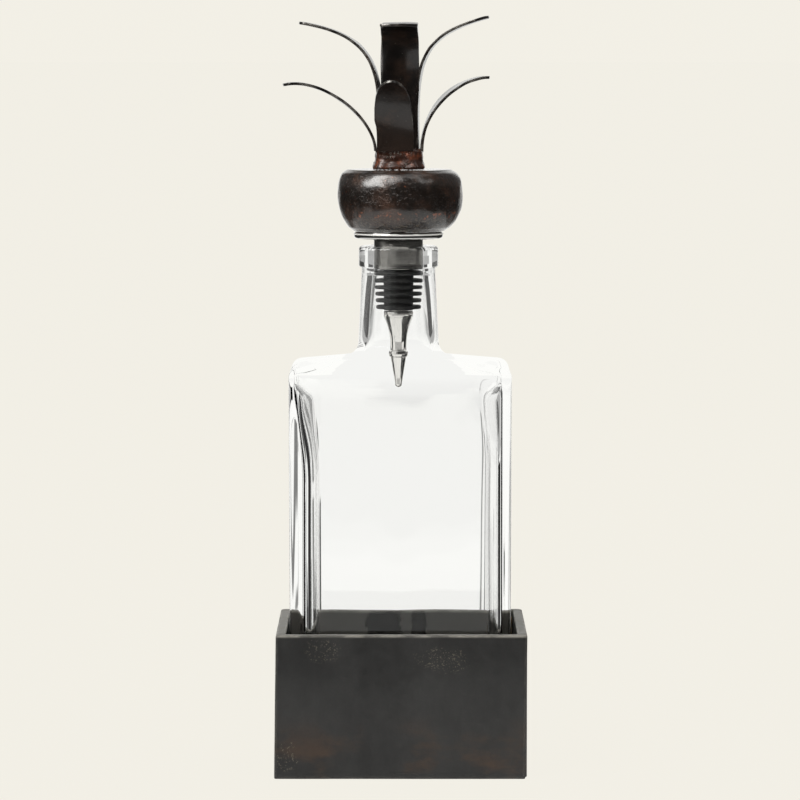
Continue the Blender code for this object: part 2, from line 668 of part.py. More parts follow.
def build_box():
    """Builds the five plates and the eight inside welds of the steel box."""
    steel = make_material("blackened_steel", (0.045, 0.043, 0.041), 0.55, 0.6)
    weld = make_material("weld_steel", (0.09, 0.08, 0.07), 0.5, 0.8)
    front_y = BOX_DEPTH / 2 - WALL_PLATE / 2
    side_x = BOX_WIDTH / 2 - WALL_PLATE / 2
    middle_z = BOX_HEIGHT / 2
    inner_depth = 2 * INNER_HALF_DEPTH - 2 * GAP
    inner_width = 2 * INNER_HALF_WIDTH - 2 * GAP
    across = (BOX_WIDTH, WALL_PLATE, BOX_HEIGHT)
    along = (WALL_PLATE, inner_depth, BOX_HEIGHT)
    add_plate("front_wall_plate", across, (0.0, -front_y, middle_z), steel)
    add_plate("back_wall_plate", across, (0.0, front_y, middle_z), steel, BACK_CORNER_RADIUS)
    add_plate("left_wall_plate", along, (-side_x, 0.0, middle_z), steel)
    add_plate("right_wall_plate", along, (side_x, 0.0, middle_z), steel)
    add_plate("floor_plate", (inner_width, inner_depth, FLOOR_PLATE), (0.0, 0.0, FLOOR_PLATE / 2), steel)

    corner_x = INNER_HALF_WIDTH - GAP
    corner_y = INNER_HALF_DEPTH - GAP
    weld_foot = FLOOR_PLATE + 2 * GAP + FLOOR_WELD_LEG
    weld_top = BOX_HEIGHT - CORNER_WELD_BELOW_RIM
    upright = weld_top - weld_foot
    up = Vector((0.0, 0.0, 1.0))
    for side, sign_x in (("left", -1), ("right", 1)):
        for end, sign_y in (("front", -1), ("back", 1)):
            legs = Matrix(((-sign_x, 0, 0), (0, -sign_y, 0), (0, 0, 1)))
            corner = (sign_x * corner_x, sign_y * corner_y, (weld_foot + weld_top) / 2)
            add_weld(f"corner_weld_{end}_{side}", CORNER_WELD_LEG, upright, corner, legs, weld)
    floor_z = FLOOR_PLATE + GAP
    long_run = 2 * (corner_x - FLOOR_WELD_LEG - GAP)
    short_run = 2 * (corner_y - FLOOR_WELD_LEG - GAP)
    for end, sign in (("front", -1), ("back", 1)):
        inward = Vector((0.0, -sign, 0.0))
        legs = Matrix((inward, up, inward.cross(up))).transposed()
        add_weld(f"floor_weld_{end}", FLOOR_WELD_LEG, long_run, (0.0, sign * corner_y, floor_z), legs, weld)
    for end, sign in (("left", -1), ("right", 1)):
        inward = Vector((-sign, 0.0, 0.0))
        legs = Matrix((inward, up, inward.cross(up))).transposed()
        add_weld(f"floor_weld_{end}", FLOOR_WELD_LEG, short_run, (sign * corner_x, 0.0, floor_z), legs, weld)


def build_bottle(parent):
    """Builds the glass bottle as one closed surface with its cavity."""
    glass = make_material("clear_glass", (0.93, 0.96, 0.95), 0.03, 0.0, transmission=1.0)
    mesh = loft("glass_bottle", bottle_rings())
    finish_object("glass_bottle", mesh, parent, (0.0, 0.0, 0.0), glass, smooth_angle=50)


def build_stopper(seal_parent, stopper_parent):
    """Builds the rubber sleeve, the turned metal pieces, the ball, its weld and the leaves."""
    rubber = make_material("black_rubber", (0.02, 0.02, 0.02), 0.6, 0.0)
    satin = make_material("satin_steel", (0.45, 0.44, 0.42), 0.35, 1.0)
    chrome = make_material("polished_steel", (0.72, 0.72, 0.71), 0.08, 1.0)
    lacquer = make_material("lacquered_forging", (0.035, 0.028, 0.024), 0.25, 0.7)
    rust = make_material("rusty_weld", (0.16, 0.06, 0.03), 0.35, 0.5)
    leaf_steel = make_material("forged_leaf_steel", (0.04, 0.033, 0.028), 0.45, 0.7)
    add_turned("rubber_sleeve", sleeve_profile(), seal_parent, rubber, closed=True)
    add_turned("stopper_cone", cone_profile(), stopper_parent, satin)
    add_turned("stopper_flange", flange_profile(), stopper_parent, chrome, closed=True)
    add_turned("threaded_stud", stud_profile(), stopper_parent, satin, steps=20)
    add_turned("forged_ball", ball_profile(), stopper_parent, lacquer, steps=40)
    collar = loft("leaf_weld_collar", collar_rings())
    finish_object("leaf_weld_collar", collar, stopper_parent, (0.0, 0.0, 0.0), rust)
    for leaf in UPPER_LEAVES + LOWER_LEAVES:
        add_leaf(leaf, stopper_parent, leaf_steel)


clear_scene()
PARTS = new_collection("decanter")
BOX_ROOT = add_empty("steel_box", (0.0, 0.0, 0.0))
BOTTLE_LIFT = add_empty("bottle_lift_axis", (BOTTLE_SHIFT, 0.0, 0.0), BOX_ROOT)
STOPPER_PULL = add_empty("stopper_pull_axis", (STOPPER_SHIFT, 0.0, 0.0), BOTTLE_LIFT)
STOPPER_TWIST = add_empty("stopper_twist_axis", (STOPPER_SHIFT, 0.0, 0.0), STOPPER_PULL)
build_box()
build_bottle(BOTTLE_LIFT)
build_stopper(STOPPER_PULL, STOPPER_TWIST)
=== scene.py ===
"""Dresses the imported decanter: a welded steel box, a thick glass bottle and a stopper with forged leaves."""

import logging
from dataclasses import dataclass, field
from enum import Enum
from math import cos, hypot, pi, radians, sin, tan
from typing import Any, Callable, Sequence

import bmesh
import bpy
import numpy as np
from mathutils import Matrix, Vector, noise


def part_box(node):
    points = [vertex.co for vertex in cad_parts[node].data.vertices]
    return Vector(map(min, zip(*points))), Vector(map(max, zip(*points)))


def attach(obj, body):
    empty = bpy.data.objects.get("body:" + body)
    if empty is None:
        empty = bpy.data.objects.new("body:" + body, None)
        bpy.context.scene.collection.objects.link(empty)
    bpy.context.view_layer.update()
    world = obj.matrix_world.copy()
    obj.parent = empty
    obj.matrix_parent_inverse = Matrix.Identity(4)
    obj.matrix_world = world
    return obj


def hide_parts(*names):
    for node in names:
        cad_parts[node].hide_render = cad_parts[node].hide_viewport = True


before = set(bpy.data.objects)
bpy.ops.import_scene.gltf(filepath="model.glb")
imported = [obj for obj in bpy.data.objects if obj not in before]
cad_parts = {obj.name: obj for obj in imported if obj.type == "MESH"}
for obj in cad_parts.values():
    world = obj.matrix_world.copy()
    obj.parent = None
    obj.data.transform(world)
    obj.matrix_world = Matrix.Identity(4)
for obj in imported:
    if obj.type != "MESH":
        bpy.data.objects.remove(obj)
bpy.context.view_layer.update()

LOG = logging.getLogger("decanter")
MM = 0.001
MERGE_DISTANCE = 0.002 * MM
CENTRE_X = -1.3 * MM

Colour = tuple[float, float, float]
Profile = list[tuple[float, float]]
Socket = bpy.types.NodeSocket


class Body(Enum):
    """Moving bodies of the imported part."""

    BASE = "base"
    BOTTLE = "bottle"
    SEAL = "seal"
    STOPPER = "stopper"


class Slot(Enum):
    """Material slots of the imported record."""

    BLACKENED_STEEL = "blackened_steel"
    WELD_STEEL = "weld_steel"
    CLEAR_GLASS = "clear_glass"
    BLACK_RUBBER = "black_rubber"
    SATIN_STEEL = "satin_steel"
    POLISHED_STEEL = "polished_steel"
    LACQUERED_FORGING = "lacquered_forging"
    RUSTY_WELD = "rusty_weld"
    FORGED_LEAF_STEEL = "forged_leaf_steel"


class Axis(Enum):
    """Direction in space, with the number of its coordinate."""

    X = 0
    Y = 1
    Z = 2


def mix(first: float, second: float, share: float) -> float:
    """Returns the value between two others at a share."""
    return first + (second - first) * share


def ease(share: float) -> float:
    """Returns a smooth step from 0 to 1."""
    held = min(max(share, 0.0), 1.0)
    return held * held * (3 - 2 * held)


def ripple(point: Vector, size: float, seed: float) -> float:
    """Returns smooth noise from -1 to 1 whose bumps are about one size apart."""
    return noise.noise(point / size + Vector((seed, seed * 1.7, -seed)))


def seat_piece(piece: bpy.types.Object, body: Body, nodes: Sequence[str]) -> None:
    """Hands a finished piece to the frame.

    Args:
        piece: Object at the origin, with its place in its mesh.
        body: Moving body that carries it.
        nodes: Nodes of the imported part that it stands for.
    """
    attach(piece, body.value)
    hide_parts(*nodes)
    LOG.info("%s: %d faces, rides on %s", piece.name, len(piece.data.polygons), body.value)


def new_object(name: str, data: bpy.types.ID) -> bpy.types.Object:
    """Adds an object to the scene.

    Args:
        name: Name of the object.
        data: Mesh, lamp or camera that it shows.

    Returns:
        The new object.
    """
    piece = bpy.data.objects.new(name, data)
    bpy.context.scene.collection.objects.link(piece)
    return piece


def seat_mesh(mesh: bpy.types.Mesh, finish: bpy.types.Material, body: Body, node: str) -> None:
    """Makes a piece of a finished mesh, with the mesh's name, and hands it to the frame.

    Args:
        mesh: The piece's mesh.
        finish: The piece's material.
        body: Moving body that carries it.
        node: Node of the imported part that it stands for.
    """
    mesh.materials.append(finish)
    seat_piece(new_object(mesh.name, mesh), body, [node])


def tidy_mesh(mesh: bpy.types.Mesh, sharp_angle: float) -> bpy.types.Mesh:
    """Merges doubled points, turns the faces outwards and shades the mesh smooth.

    Args:
        mesh: Mesh to tidy in place.
        sharp_angle: Bend in degrees from which an edge shows as sharp.

    Returns:
        The same mesh.
    """
    form = bmesh.new()
    form.from_mesh(mesh)
    bmesh.ops.remove_doubles(form, verts=form.verts, dist=MERGE_DISTANCE)
    bmesh.ops.recalc_face_normals(form, faces=form.faces)
    form.to_mesh(mesh)
    form.free()
    mesh.shade_smooth()
    mesh.set_sharp_from_angle(angle=radians(sharp_angle))
    return mesh


def loft_mesh(name: str, rings: Sequence[Sequence[Vector]], capped: bool = True) -> bpy.types.Mesh:
    """Joins rings of equal count into a surface.

    Args:
        name: Name of the mesh.
        rings: Rings of points, from one end to the other.
        capped: Whether the first and the last ring get a flat cap.

    Returns:
        The new mesh, not yet tidied.
    """
    count = len(rings[0])
    points = [tuple(point) for ring in rings for point in ring]
    faces: list[tuple[int, ...]] = []
    for first in range(0, (len(rings) - 1) * count, count):
        for i in range(count):
            j = (i + 1) % count
            faces.append((first + i, first + j, first + count + j, first + count + i))
    if capped:
        faces.append(tuple(reversed(range(count))))
        faces.append(tuple(range((len(rings) - 1) * count, len(rings) * count)))
    mesh = bpy.data.meshes.new(name)
    mesh.from_pydata(points, [], faces)
    return mesh


def turned_mesh(
    name: str,
    profile: Profile,
    steps: int,
    closed: bool = False,
    reshape: Callable[[Vector], Vector] | None = None,
    sharp_angle: float = 35.0,
) -> bpy.types.Mesh:
    """Turns a profile round the stopper's axis.

    Args:
        name: Name of the mesh.
        profile: Radius and height of each point, from the top down.
        steps: Number of segments round the axis.
        closed: Whether the last point joins the first, as in a ring with a hole.
        reshape: Moves a finished point, for a form that isn't quite round.
        sharp_angle: Bend in degrees from which an edge shows as sharp.

    Returns:
        A tidied, closed mesh.
    """
    loop = profile + profile[:1] if closed else profile
    rings = []
    for radius, height in loop:
        ring = []
        for step in range(steps):
            angle = 2 * pi * step / steps
            point = Vector((CENTRE_X + radius * cos(angle), radius * sin(angle), height))
            ring.append(reshape(point) if reshape else point)
        rings.append(ring)
    return tidy_mesh(loft_mesh(name, rings, capped=False), sharp_angle)


def arc_points(centre: tuple[float, float], size: float, first: float, last: float, count: int) -> Profile:
    """Returns points on a circle in the turning plane.

    Args:
        centre: Radius and height of the circle's middle.
        size: Radius of the circle.
        first: First angle in degrees, 0 outwards and 90 up.
        last: Last angle in degrees.
        count: Number of points.

    Returns:
        The points, as radius and height.
    """
    angles = [radians(mix(first, last, step / (count - 1))) for step in range(count)]
    return [(centre[0] + size * cos(angle), centre[1] + size * sin(angle)) for angle in angles]


def quarter(steps: int, turn: float = 90.0) -> list[tuple[float, float]]:
    """Returns 1 less the sine and 1 less the cosine of each angle from 0 to a turn.

    Args:
        steps: Number of steps from the first angle to the last.
        turn: Last angle in degrees.

    Returns:
        A pair for each angle.
    """
    angles = [step / steps * radians(turn) for step in range(steps + 1)]
    return [(1 - sin(angle), 1 - cos(angle)) for angle in angles]


def paint_points(mesh: bpy.types.Mesh, name: str, values: Sequence[float]) -> None:
    """Stores one value for each point of a mesh, which a material can read."""
    layer = mesh.attributes.new(name, "FLOAT", "POINT")
    layer.data.foreach_set("value", np.array(values, np.float32))


class Graph:
    """Builds a node tree, one linked node at a time."""

    def __init__(self, tree: bpy.types.NodeTree) -> None:
        """Keeps the tree that the nodes go into."""
        self.tree = tree

    def feed(self, node: bpy.types.Node, inputs: dict[Any, Any]) -> bpy.types.Node:
        """Links or sets the inputs of a node.

        Args:
            node: The node.
            inputs: Socket name or number, and the value or socket that feeds it.

        Returns:
            The same node.
        """
        for name, value in inputs.items():
            socket = node.inputs[name]
            if isinstance(value, Socket):
                self.tree.links.new(value, socket)
            else:
                socket.default_value = (*value[:3], 1.0) if socket.type == "RGBA" else value
        return node

    def add(self, kind: str, inputs: dict[Any, Any] | None = None, **settings: Any) -> bpy.types.Node:
        """Adds a node.

        Args:
            kind: The node's type.
            inputs: Socket name or number, and the value or socket that feeds it.
            **settings: Properties of the node.

        Returns:
            The new node.
        """
        node = self.tree.nodes.new(kind)
        for name, value in settings.items():
            setattr(node, name, value)
        return self.feed(node, inputs or {})

    def shade(self, inputs: dict[str, Any]) -> bpy.types.Node:
        """Links or sets the inputs of a material's main shader, and returns it."""
        return self.feed(self.tree.nodes["Principled BSDF"], inputs)

    def show(self, share: Any, first: bpy.types.Node, second: bpy.types.Node) -> None:
        """Makes a mixture of two shaders the material's surface.

        Args:
            share: Socket or value from 0 to 1.
            first: Shader at 0.
            second: Shader at 1.
        """
        both = self.add("ShaderNodeMixShader", {0: share, 1: first.outputs[0], 2: second.outputs[0]})
        self.tree.links.new(both.outputs[0], self.tree.nodes["Material Output"].inputs["Surface"])

    def maths(self, operation: str, first: Any, second: Any = 0.0, third: Any = 0.0) -> Socket:
        """Returns the result of a Math node."""
        return self.add("ShaderNodeMath", {0: first, 1: second, 2: third}, operation=operation).outputs[0]

    def times(self, *factors: Any) -> Socket:
        """Multiplies numbers.

        Args:
            *factors: Two or more sockets or values.

        Returns:
            The product's socket.
        """
        product = factors[0]
        for factor in factors[1:]:
            product = self.maths("MULTIPLY", product, factor)
        return product

    def off(self, value: Any, middle: float) -> Socket:
        """Returns how far a value is from another, as a positive number."""
        return self.maths("ABSOLUTE", self.maths("SUBTRACT", value, middle))

    def vector(self, operation: str, first: Any, second: Any = (0.0, 0.0, 0.0)) -> Socket:
        """Returns the result of a Vector Math node, a number for a length or a dot product."""
        node = self.add("ShaderNodeVectorMath", {0: first, 1: second}, operation=operation)
        return node.outputs["Value" if operation in ("DOT_PRODUCT", "LENGTH") else "Vector"]

    def scaled(self, vector: Any, scale: Any) -> Socket:
        """Returns a vector times a number."""
        return self.add("ShaderNodeVectorMath", {0: vector, "Scale": scale}, operation="SCALE").outputs[0]

    def part(self, place: Any, axis: Axis) -> Socket:
        """Returns one coordinate of a place."""
        return self.add("ShaderNodeSeparateXYZ", {0: place}).outputs[axis.value]

    def stored(self, name: str) -> Socket:
        """Returns the value that paint_points stored under a name."""
        return self.add("ShaderNodeAttribute", attribute_name=name).outputs["Fac"]

    def remap(self, value: Any, low: float, high: float, first: float = 0.0, last: float = 1.0) -> Socket:
        """Returns a value moved smoothly from one range to another.

        Args:
            value: Socket to read.
            low: Value that becomes first.
            high: Value that becomes last.
            first: Start of the new range.
            last: End of the new range.

        Returns:
            The new value's socket.
        """
        inputs = {"Value": value, "From Min": low, "From Max": high, "To Min": first, "To Max": last}
        return self.add("ShaderNodeMapRange", inputs, interpolation_type="SMOOTHSTEP").outputs[0]

    def noise(self, place: Any, scale: float, detail: float = 2.0, rough: float = 0.5) -> Socket:
        """Returns a noise texture's value, about 0.5 in the middle."""
        inputs = {"Vector": place, "Scale": scale, "Detail": detail, "Roughness": rough}
        return self.add("ShaderNodeTexNoise", inputs).outputs[0]

    def stretch(self, place: Any, scale: Colour) -> Socket:
        """Returns coordinates stretched by a Mapping node."""
        return self.add("ShaderNodeMapping", {"Vector": place, "Scale": scale}).outputs[0]

    def tint(self, share: Any, first: Any, second: Any) -> Socket:
        """Returns a colour between two others.

        Args:
            share: Socket or value from 0 to 1.
            first: Colour or socket at 0.
            second: Colour or socket at 1.

        Returns:
            The mixed colour's socket.
        """
        return self.add("ShaderNodeMix", {0: share, 6: first, 7: second}, data_type="RGBA").outputs[2]

    def bump(self, height: Any, distance: float, strength: float = 1.0) -> Socket:
        """Returns a normal roughened by a height in metres times the distance."""
        inputs = {"Height": height, "Distance": distance, "Strength": strength}
        return self.add("ShaderNodeBump", inputs).outputs[0]


@dataclass(frozen=True)
class Finish:
    """A surface finish that every material of the object starts from."""

    name: str = "finish"

    def material(self) -> bpy.types.Material:
        """Makes the finish into a material.

        Returns:
            The new material.
        """
        material = bpy.data.materials.new(self.name)
        material.use_nodes = True
        graph = Graph(material.node_tree)
        self.paint(graph, graph.add("ShaderNodeTexCoord").outputs["Object"])
        return material

    def paint(self, graph: Graph, place: Socket) -> None:
        """Builds the finish's nodes.

        Args:
            graph: Graph of the material.
            place: Socket of the object coordinates.
        """
        raise NotImplementedError


@dataclass(frozen=True)
class BlackenedSteel(Finish):
    """Hot-rolled plate, blackened and waxed, with cloudy rust and bright worn edges.

    Each mark is its middle in X and Z and its half widths in X and Z, in millimetres. front, back and skin
    are the places in Y where the front plate's outer face and the back plate's inner face and body begin.
    """

    name: str = "blackened_steel_plate"
    dark: Colour = (0.010, 0.0096, 0.0092)
    pale: Colour = (0.033, 0.0322, 0.0312)
    rust: Colour = (0.085, 0.048, 0.028)
    speck: Colour = (0.21, 0.185, 0.14)
    rim_height: float = 60.9 * MM
    worn: Colour = (0.27, 0.255, 0.225)
    soot: Colour = (0.009, 0.0075, 0.006)
    inner: Colour = (0.105, 0.096, 0.086)
    front: float = -42 * MM
    back: float = 39 * MM
    skin: float = 40.6 * MM
    soot_marks: tuple[Sequence[float], ...] = ((-8.2, 55.0, 8.6, 16.0), (8.4, 55.0, 3.6, 16.0))
    speck_marks: tuple[Sequence[float], ...] = (
        (19.0, 50.0, 12.0, 5.5),
        (-33.0, 55.0, 8.0, 5.0),
        (-48.0, 9.0, 4.5, 6.0),
    )

    @staticmethod
    def marked(graph: Graph, place: Socket, marks: Sequence[Sequence[float]]) -> Socket:
        """Returns how far a point lies in ragged marks on the plates.

        Args:
            graph: Graph of the finish.
            place: Socket of the point's place.
            marks: The marks.

        Returns:
            A socket from 0 to 1.
        """
        ragged = graph.maths("MULTIPLY_ADD", graph.noise(place, 150.0, 3.0, 0.6), 1.6, -0.8)
        found: Any = 0.0
        for middle_x, middle_z, half_x, half_z in marks:
            away = graph.vector("SUBTRACT", place, (middle_x * MM, 0.0, middle_z * MM))
            shrunk = graph.vector("MULTIPLY", away, (1 / (half_x * MM), 0.0, 1 / (half_z * MM)))
            reach = graph.maths("ADD", graph.vector("LENGTH", shrunk), ragged)
            found = graph.maths("MAXIMUM", found, graph.remap(reach, 1.15, 0.75))
        return found

    def paint(self, graph: Graph, place: Socket) -> None:
        """Lays rust, specks, soot and worn edges over the plate's two greys.

        Args:
            graph: Graph of the material.
            place: Socket of the object coordinates.
        """
        depth, height = graph.part(place, Axis.Y), graph.part(place, Axis.Z)
        cloud = graph.noise(place, 26.0, 5.0, 0.62)
        streak = graph.noise(graph.stretch(place, (1.0, 1.0, 0.35)), 120.0, 4.0, 0.6)
        fine = graph.noise(place, 420.0, 4.0, 0.65)
        fade = graph.remap(height, 0.060, 0.030, 0.0, 0.45)
        tone = graph.maths("MULTIPLY_ADD", graph.remap(cloud, 0.36, 0.66), 0.55, fade)
        tone = graph.maths("MULTIPLY_ADD", graph.remap(streak, 0.35, 0.7), 0.25, graph.times(tone, 0.8))
        colour = graph.tint(tone, self.dark, self.pale)
        low = graph.remap(height, 0.030, 0.008, 0.0, 0.5)
        cloudy = graph.remap(graph.noise(graph.stretch(place, (1.0, 1.0, 1.9)), 34.0, 4.0, 0.6), 0.5, 0.68)
        colour = graph.tint(graph.times(low, cloudy), colour, self.rust)
        front = graph.remap(depth, self.front, self.front - MM)
        back = graph.remap(depth, self.back, self.back + 0.4 * MM)
        back = graph.times(back, graph.remap(depth, self.skin, self.skin - 0.4 * MM))
        patch = graph.remap(graph.noise(place, 58.0, 3.0), 0.60, 0.68)
        patch = graph.tint(front, patch, self.marked(graph, place, self.speck_marks))
        dust = graph.remap(graph.noise(place, 1400.0, 2.0, 0.7), 0.58, 0.66, 0.0, 0.5)
        colour = graph.tint(graph.times(patch, dust), colour, self.speck)
        sooty = graph.times(back, self.marked(graph, place, self.soot_marks))
        colour = graph.tint(graph.times(back, 0.8), colour, self.inner)
        colour = graph.tint(sooty, colour, self.soot)
        rubbed = graph.remap(graph.noise(place, 110.0, 4.0, 0.6), 0.36, 0.62, 0.3, 0.9)
        rubbed = graph.times(graph.stored("wear"), rubbed)
        rim = graph.remap(height, self.rim_height, self.rim_height + 0.2 * MM, 0.0, 0.62)
        rim = graph.times(rim, graph.remap(fine, 0.35, 0.6, 0.55, 1.0))
        lumps = graph.maths("MULTIPLY_ADD", cloud, 1.5, graph.times(fine, 0.35))
        inputs = {
            "Base Color": graph.tint(graph.maths("MAXIMUM", rubbed, rim), colour, self.worn),
            "Roughness": graph.remap(fine, 0.3, 0.7, 0.40, 0.62),
            "Metallic": graph.remap(sooty, 0.0, 1.0, 0.2, 0.95),
            "Normal": graph.bump(lumps, 0.00008, 0.35),
        }
        graph.shade(inputs)


@dataclass(frozen=True)
class WeldSteel(Finish):
    """Weld bead with heat colours."""

    name: str = "weld_bead_steel"
    grey: Colour = (0.16, 0.15, 0.14)
    straw: Colour = (0.22, 0.14, 0.06)
    blue: Colour = (0.06, 0.07, 0.12)

    def paint(self, graph: Graph, place: Socket) -> None:
        """Lays straw and blue patches over the grey.

        Args:
            graph: Graph of the material.
            place: Socket of the object coordinates.
        """
        colour = graph.tint(graph.remap(graph.noise(place, 160.0, 3.0), 0.45, 0.62), self.grey, self.straw)
        colour = graph.tint(graph.remap(graph.noise(place, 90.0, 2.0), 0.52, 0.68), colour, self.blue)
        fine = graph.noise(place, 900.0, 2.0)
        rough, normal = graph.remap(fine, 0.3, 0.7, 0.28, 0.5), graph.bump(fine, 0.00006)
        graph.shade({"Base Color": colour, "Metallic": 0.9, "Roughness": rough, "Normal": normal})


@dataclass(frozen=True)
class ClearGlass(Finish):
    """Clear thick glass that lets lamp light through to what stands behind it.

    Where the attribute named even is stored as 1, light goes through with the even bending instead.
    """

    name: str = "clear_bottle_glass"
    tone: Colour = (0.999, 1.0, 0.998)
    bending: float = 1.5
    even_bending: float = 1.0
    shadow: Colour = (0.93, 0.95, 0.94)

    def paint(self, graph: Graph, place: Socket) -> None:
        """Builds the glass, and the clear pane that shadows see.

        Args:
            graph: Graph of the material.
            place: Socket of the object coordinates.
        """
        waves = graph.noise(graph.stretch(place, (1.0, 1.0, 0.25)), 42.0, 2.0)
        inputs = {
            "Base Color": self.tone,
            "Roughness": 0.0,
            "IOR": graph.remap(graph.stored("even"), 0.0, 1.0, self.bending, self.even_bending),
            "Transmission Weight": 1.0,
            "Normal": graph.bump(waves, 0.0004, 0.12),
        }
        clear = graph.add("ShaderNodeBsdfTransparent", {"Color": self.shadow})
        graph.show(graph.add("ShaderNodeLightPath").outputs["Is Shadow Ray"], graph.shade(inputs), clear)


@dataclass(frozen=True)
class BlackRubber(Finish):
    """Matt black rubber with a faint bloom."""

    name: str = "ringed_black_rubber"
    black: Colour = (0.012, 0.012, 0.012)
    bloom: Colour = (0.032, 0.030, 0.029)

    def paint(self, graph: Graph, place: Socket) -> None:
        """Lays the bloom over the black.

        Args:
            graph: Graph of the material.
            place: Socket of the object coordinates.
        """
        dusty = graph.remap(graph.noise(place, 260.0, 4.0, 0.6), 0.45, 0.75)
        fine = graph.noise(place, 1600.0, 2.0)
        colour, rough = graph.tint(dusty, self.black, self.bloom), graph.remap(fine, 0.3, 0.7, 0.42, 0.6)
        graph.shade({"Base Color": colour, "Roughness": rough, "Normal": graph.bump(fine, 0.00003)})


@dataclass(frozen=True)
class TurnedSteel(Finish):
    """Stainless steel, satin on the stem and polished on the cone."""

    name: str = "turned_stainless_steel"
    metal: Colour = (0.80, 0.785, 0.76)
    satin: Colour = (0.33, 0.32, 0.30)
    stain: Colour = (0.22, 0.21, 0.20)
    cone_top: float = 195.3 * MM

    def paint(self, graph: Graph, place: Socket) -> None:
        """Builds the bright cone, and above it the stained, finely grooved stem.

        Args:
            graph: Graph of the material.
            place: Socket of the object coordinates.
        """
        satin = graph.remap(graph.part(place, Axis.Z), self.cone_top, self.cone_top + 2 * MM)
        smudge = graph.remap(graph.noise(graph.stretch(place, (1.0, 1.0, 0.3)), 260.0, 4.0, 0.6), 0.40, 0.70)
        grooves = graph.noise(graph.stretch(place, (0.02, 0.02, 1.0)), 5200.0, 1.0)
        inputs = {
            "Base Color": graph.tint(satin, self.metal, graph.tint(smudge, self.satin, self.stain)),
            "Metallic": 1.0,
            "Roughness": graph.maths("MULTIPLY_ADD", satin, 0.16, graph.remap(smudge, 0.0, 1.0, 0.05, 0.08)),
            "Normal": graph.bump(graph.times(grooves, satin), 0.00002, 0.25),
        }
        graph.shade(inputs)


@dataclass(frozen=True)
class PolishedSteel(Finish):
    """Mirror-polished disc with light wipe marks, and a bright matt line painted round its rim as a highlight.
    """

    name: str = "polished_disc_steel"
    metal: Colour = (0.80, 0.79, 0.77)
    haze: Colour = (0.62, 0.60, 0.57)
    # Near-white colour of the highlight line painted round the rim.
    painted_highlight: Colour = (0.86, 0.85, 0.82)
    highlight_height: float = 228.15 * MM
    highlight_half: float = 0.42 * MM

    def paint(self, graph: Graph, place: Socket) -> None:
        """Lays the wipe marks and the ground line over the mirror.

        Args:
            graph: Graph of the material.
            Lays the wipe marks, and the painted highlight line round the rim, over the mirror.
        """
        wipe = graph.remap(graph.noise(graph.stretch(place, (1.0, 1.0, 4.0)), 150.0, 4.0, 0.6), 0.45, 0.7)
        # Thin band round the rim, painted near-white and matt as a highlight.
        away = graph.off(graph.part(place, Axis.Z), self.highlight_height)
        line = graph.remap(away, self.highlight_half, self.highlight_half * 0.4)
        rough = graph.remap(wipe, 0.0, 1.0, 0.05, 0.16)
        inputs = {
            "Base Color": graph.tint(line, graph.tint(wipe, self.metal, self.haze), self.painted_highlight),
            "Metallic": graph.remap(line, 0.0, 1.0, 1.0, 0.15),
            "Roughness": graph.maths("MAXIMUM", rough, graph.times(line, 0.5)),
        }
        graph.shade(inputs)


@dataclass(frozen=True)
class LacqueredForging(Finish):
    """Forged dark steel under a thick glossy lacquer, pitted and flecked with rust."""

    name: str = "lacquered_forged_steel"
    dark: Colour = (0.0100, 0.0052, 0.0028)
    brown: Colour = (0.046, 0.020, 0.010)
    # Pale colour painted, speckled, on the lower ball as the floor's reflection.
    scale: Colour = (0.115, 0.084, 0.058)
    rust: Colour = (0.30, 0.085, 0.03)
    band_height: float = 236.5 * MM
    floor_reflection_height: float = 238.0 * MM

    def paint(self, graph: Graph, place: Socket) -> None:
        """Lays rust flecks, a rusty band, and a pale speckled tone painted low on the ball as the floor's
        reflection, over the dark steel.

        Args:
            graph: Graph of the material.
            place: Socket of the object coordinates.
        """
        height = graph.part(place, Axis.Z)
        cloud = graph.noise(place, 75.0, 5.0, 0.65)
        colour = graph.tint(graph.remap(cloud, 0.42, 0.68), self.dark, self.brown)
        fleck = graph.remap(graph.noise(place, 620.0, 2.0), 0.70, 0.76)
        fleck = graph.times(fleck, graph.remap(graph.noise(place, 70.0, 2.0), 0.46, 0.60))
        band = graph.remap(graph.off(height, self.band_height), 2.2 * MM, 0.4 * MM)
        band = graph.times(band, graph.remap(graph.noise(place, 420.0, 4.0, 0.65), 0.54, 0.64))
        colour = graph.tint(graph.times(graph.maths("MAXIMUM", fleck, band), 0.7), colour, self.rust)
        # Below its set height the ball takes the pale colour, speckled: a painted reflection of the floor.
        under = graph.remap(height, self.floor_reflection_height, self.floor_reflection_height - 5 * MM)
        dusty = graph.remap(graph.noise(place, 1100.0, 3.0, 0.6), 0.50, 0.64, 0.0, 0.6)
        pits = graph.remap(graph.noise(place, 620.0, 3.0, 0.55), 0.36, 0.52)
        grain = graph.noise(place, 1900.0, 3.0, 0.6)
        skin = graph.maths("MULTIPLY_ADD", graph.noise(place, 330.0, 1.0), 0.6, grain)
        inputs = {
            "Base Color": graph.tint(graph.times(under, dusty), colour, self.scale),
            "Metallic": 0.25,
            "Roughness": graph.remap(cloud, 0.3, 0.7, 0.30, 0.5),
            "Coat Weight": 1.0,
            "Coat Roughness": 0.05,
            "Coat IOR": 1.62,
            "Normal": graph.bump(pits, 0.00018, 0.75),
            "Coat Normal": graph.bump(skin, 0.00007, 0.8),
        }
        graph.shade(inputs)


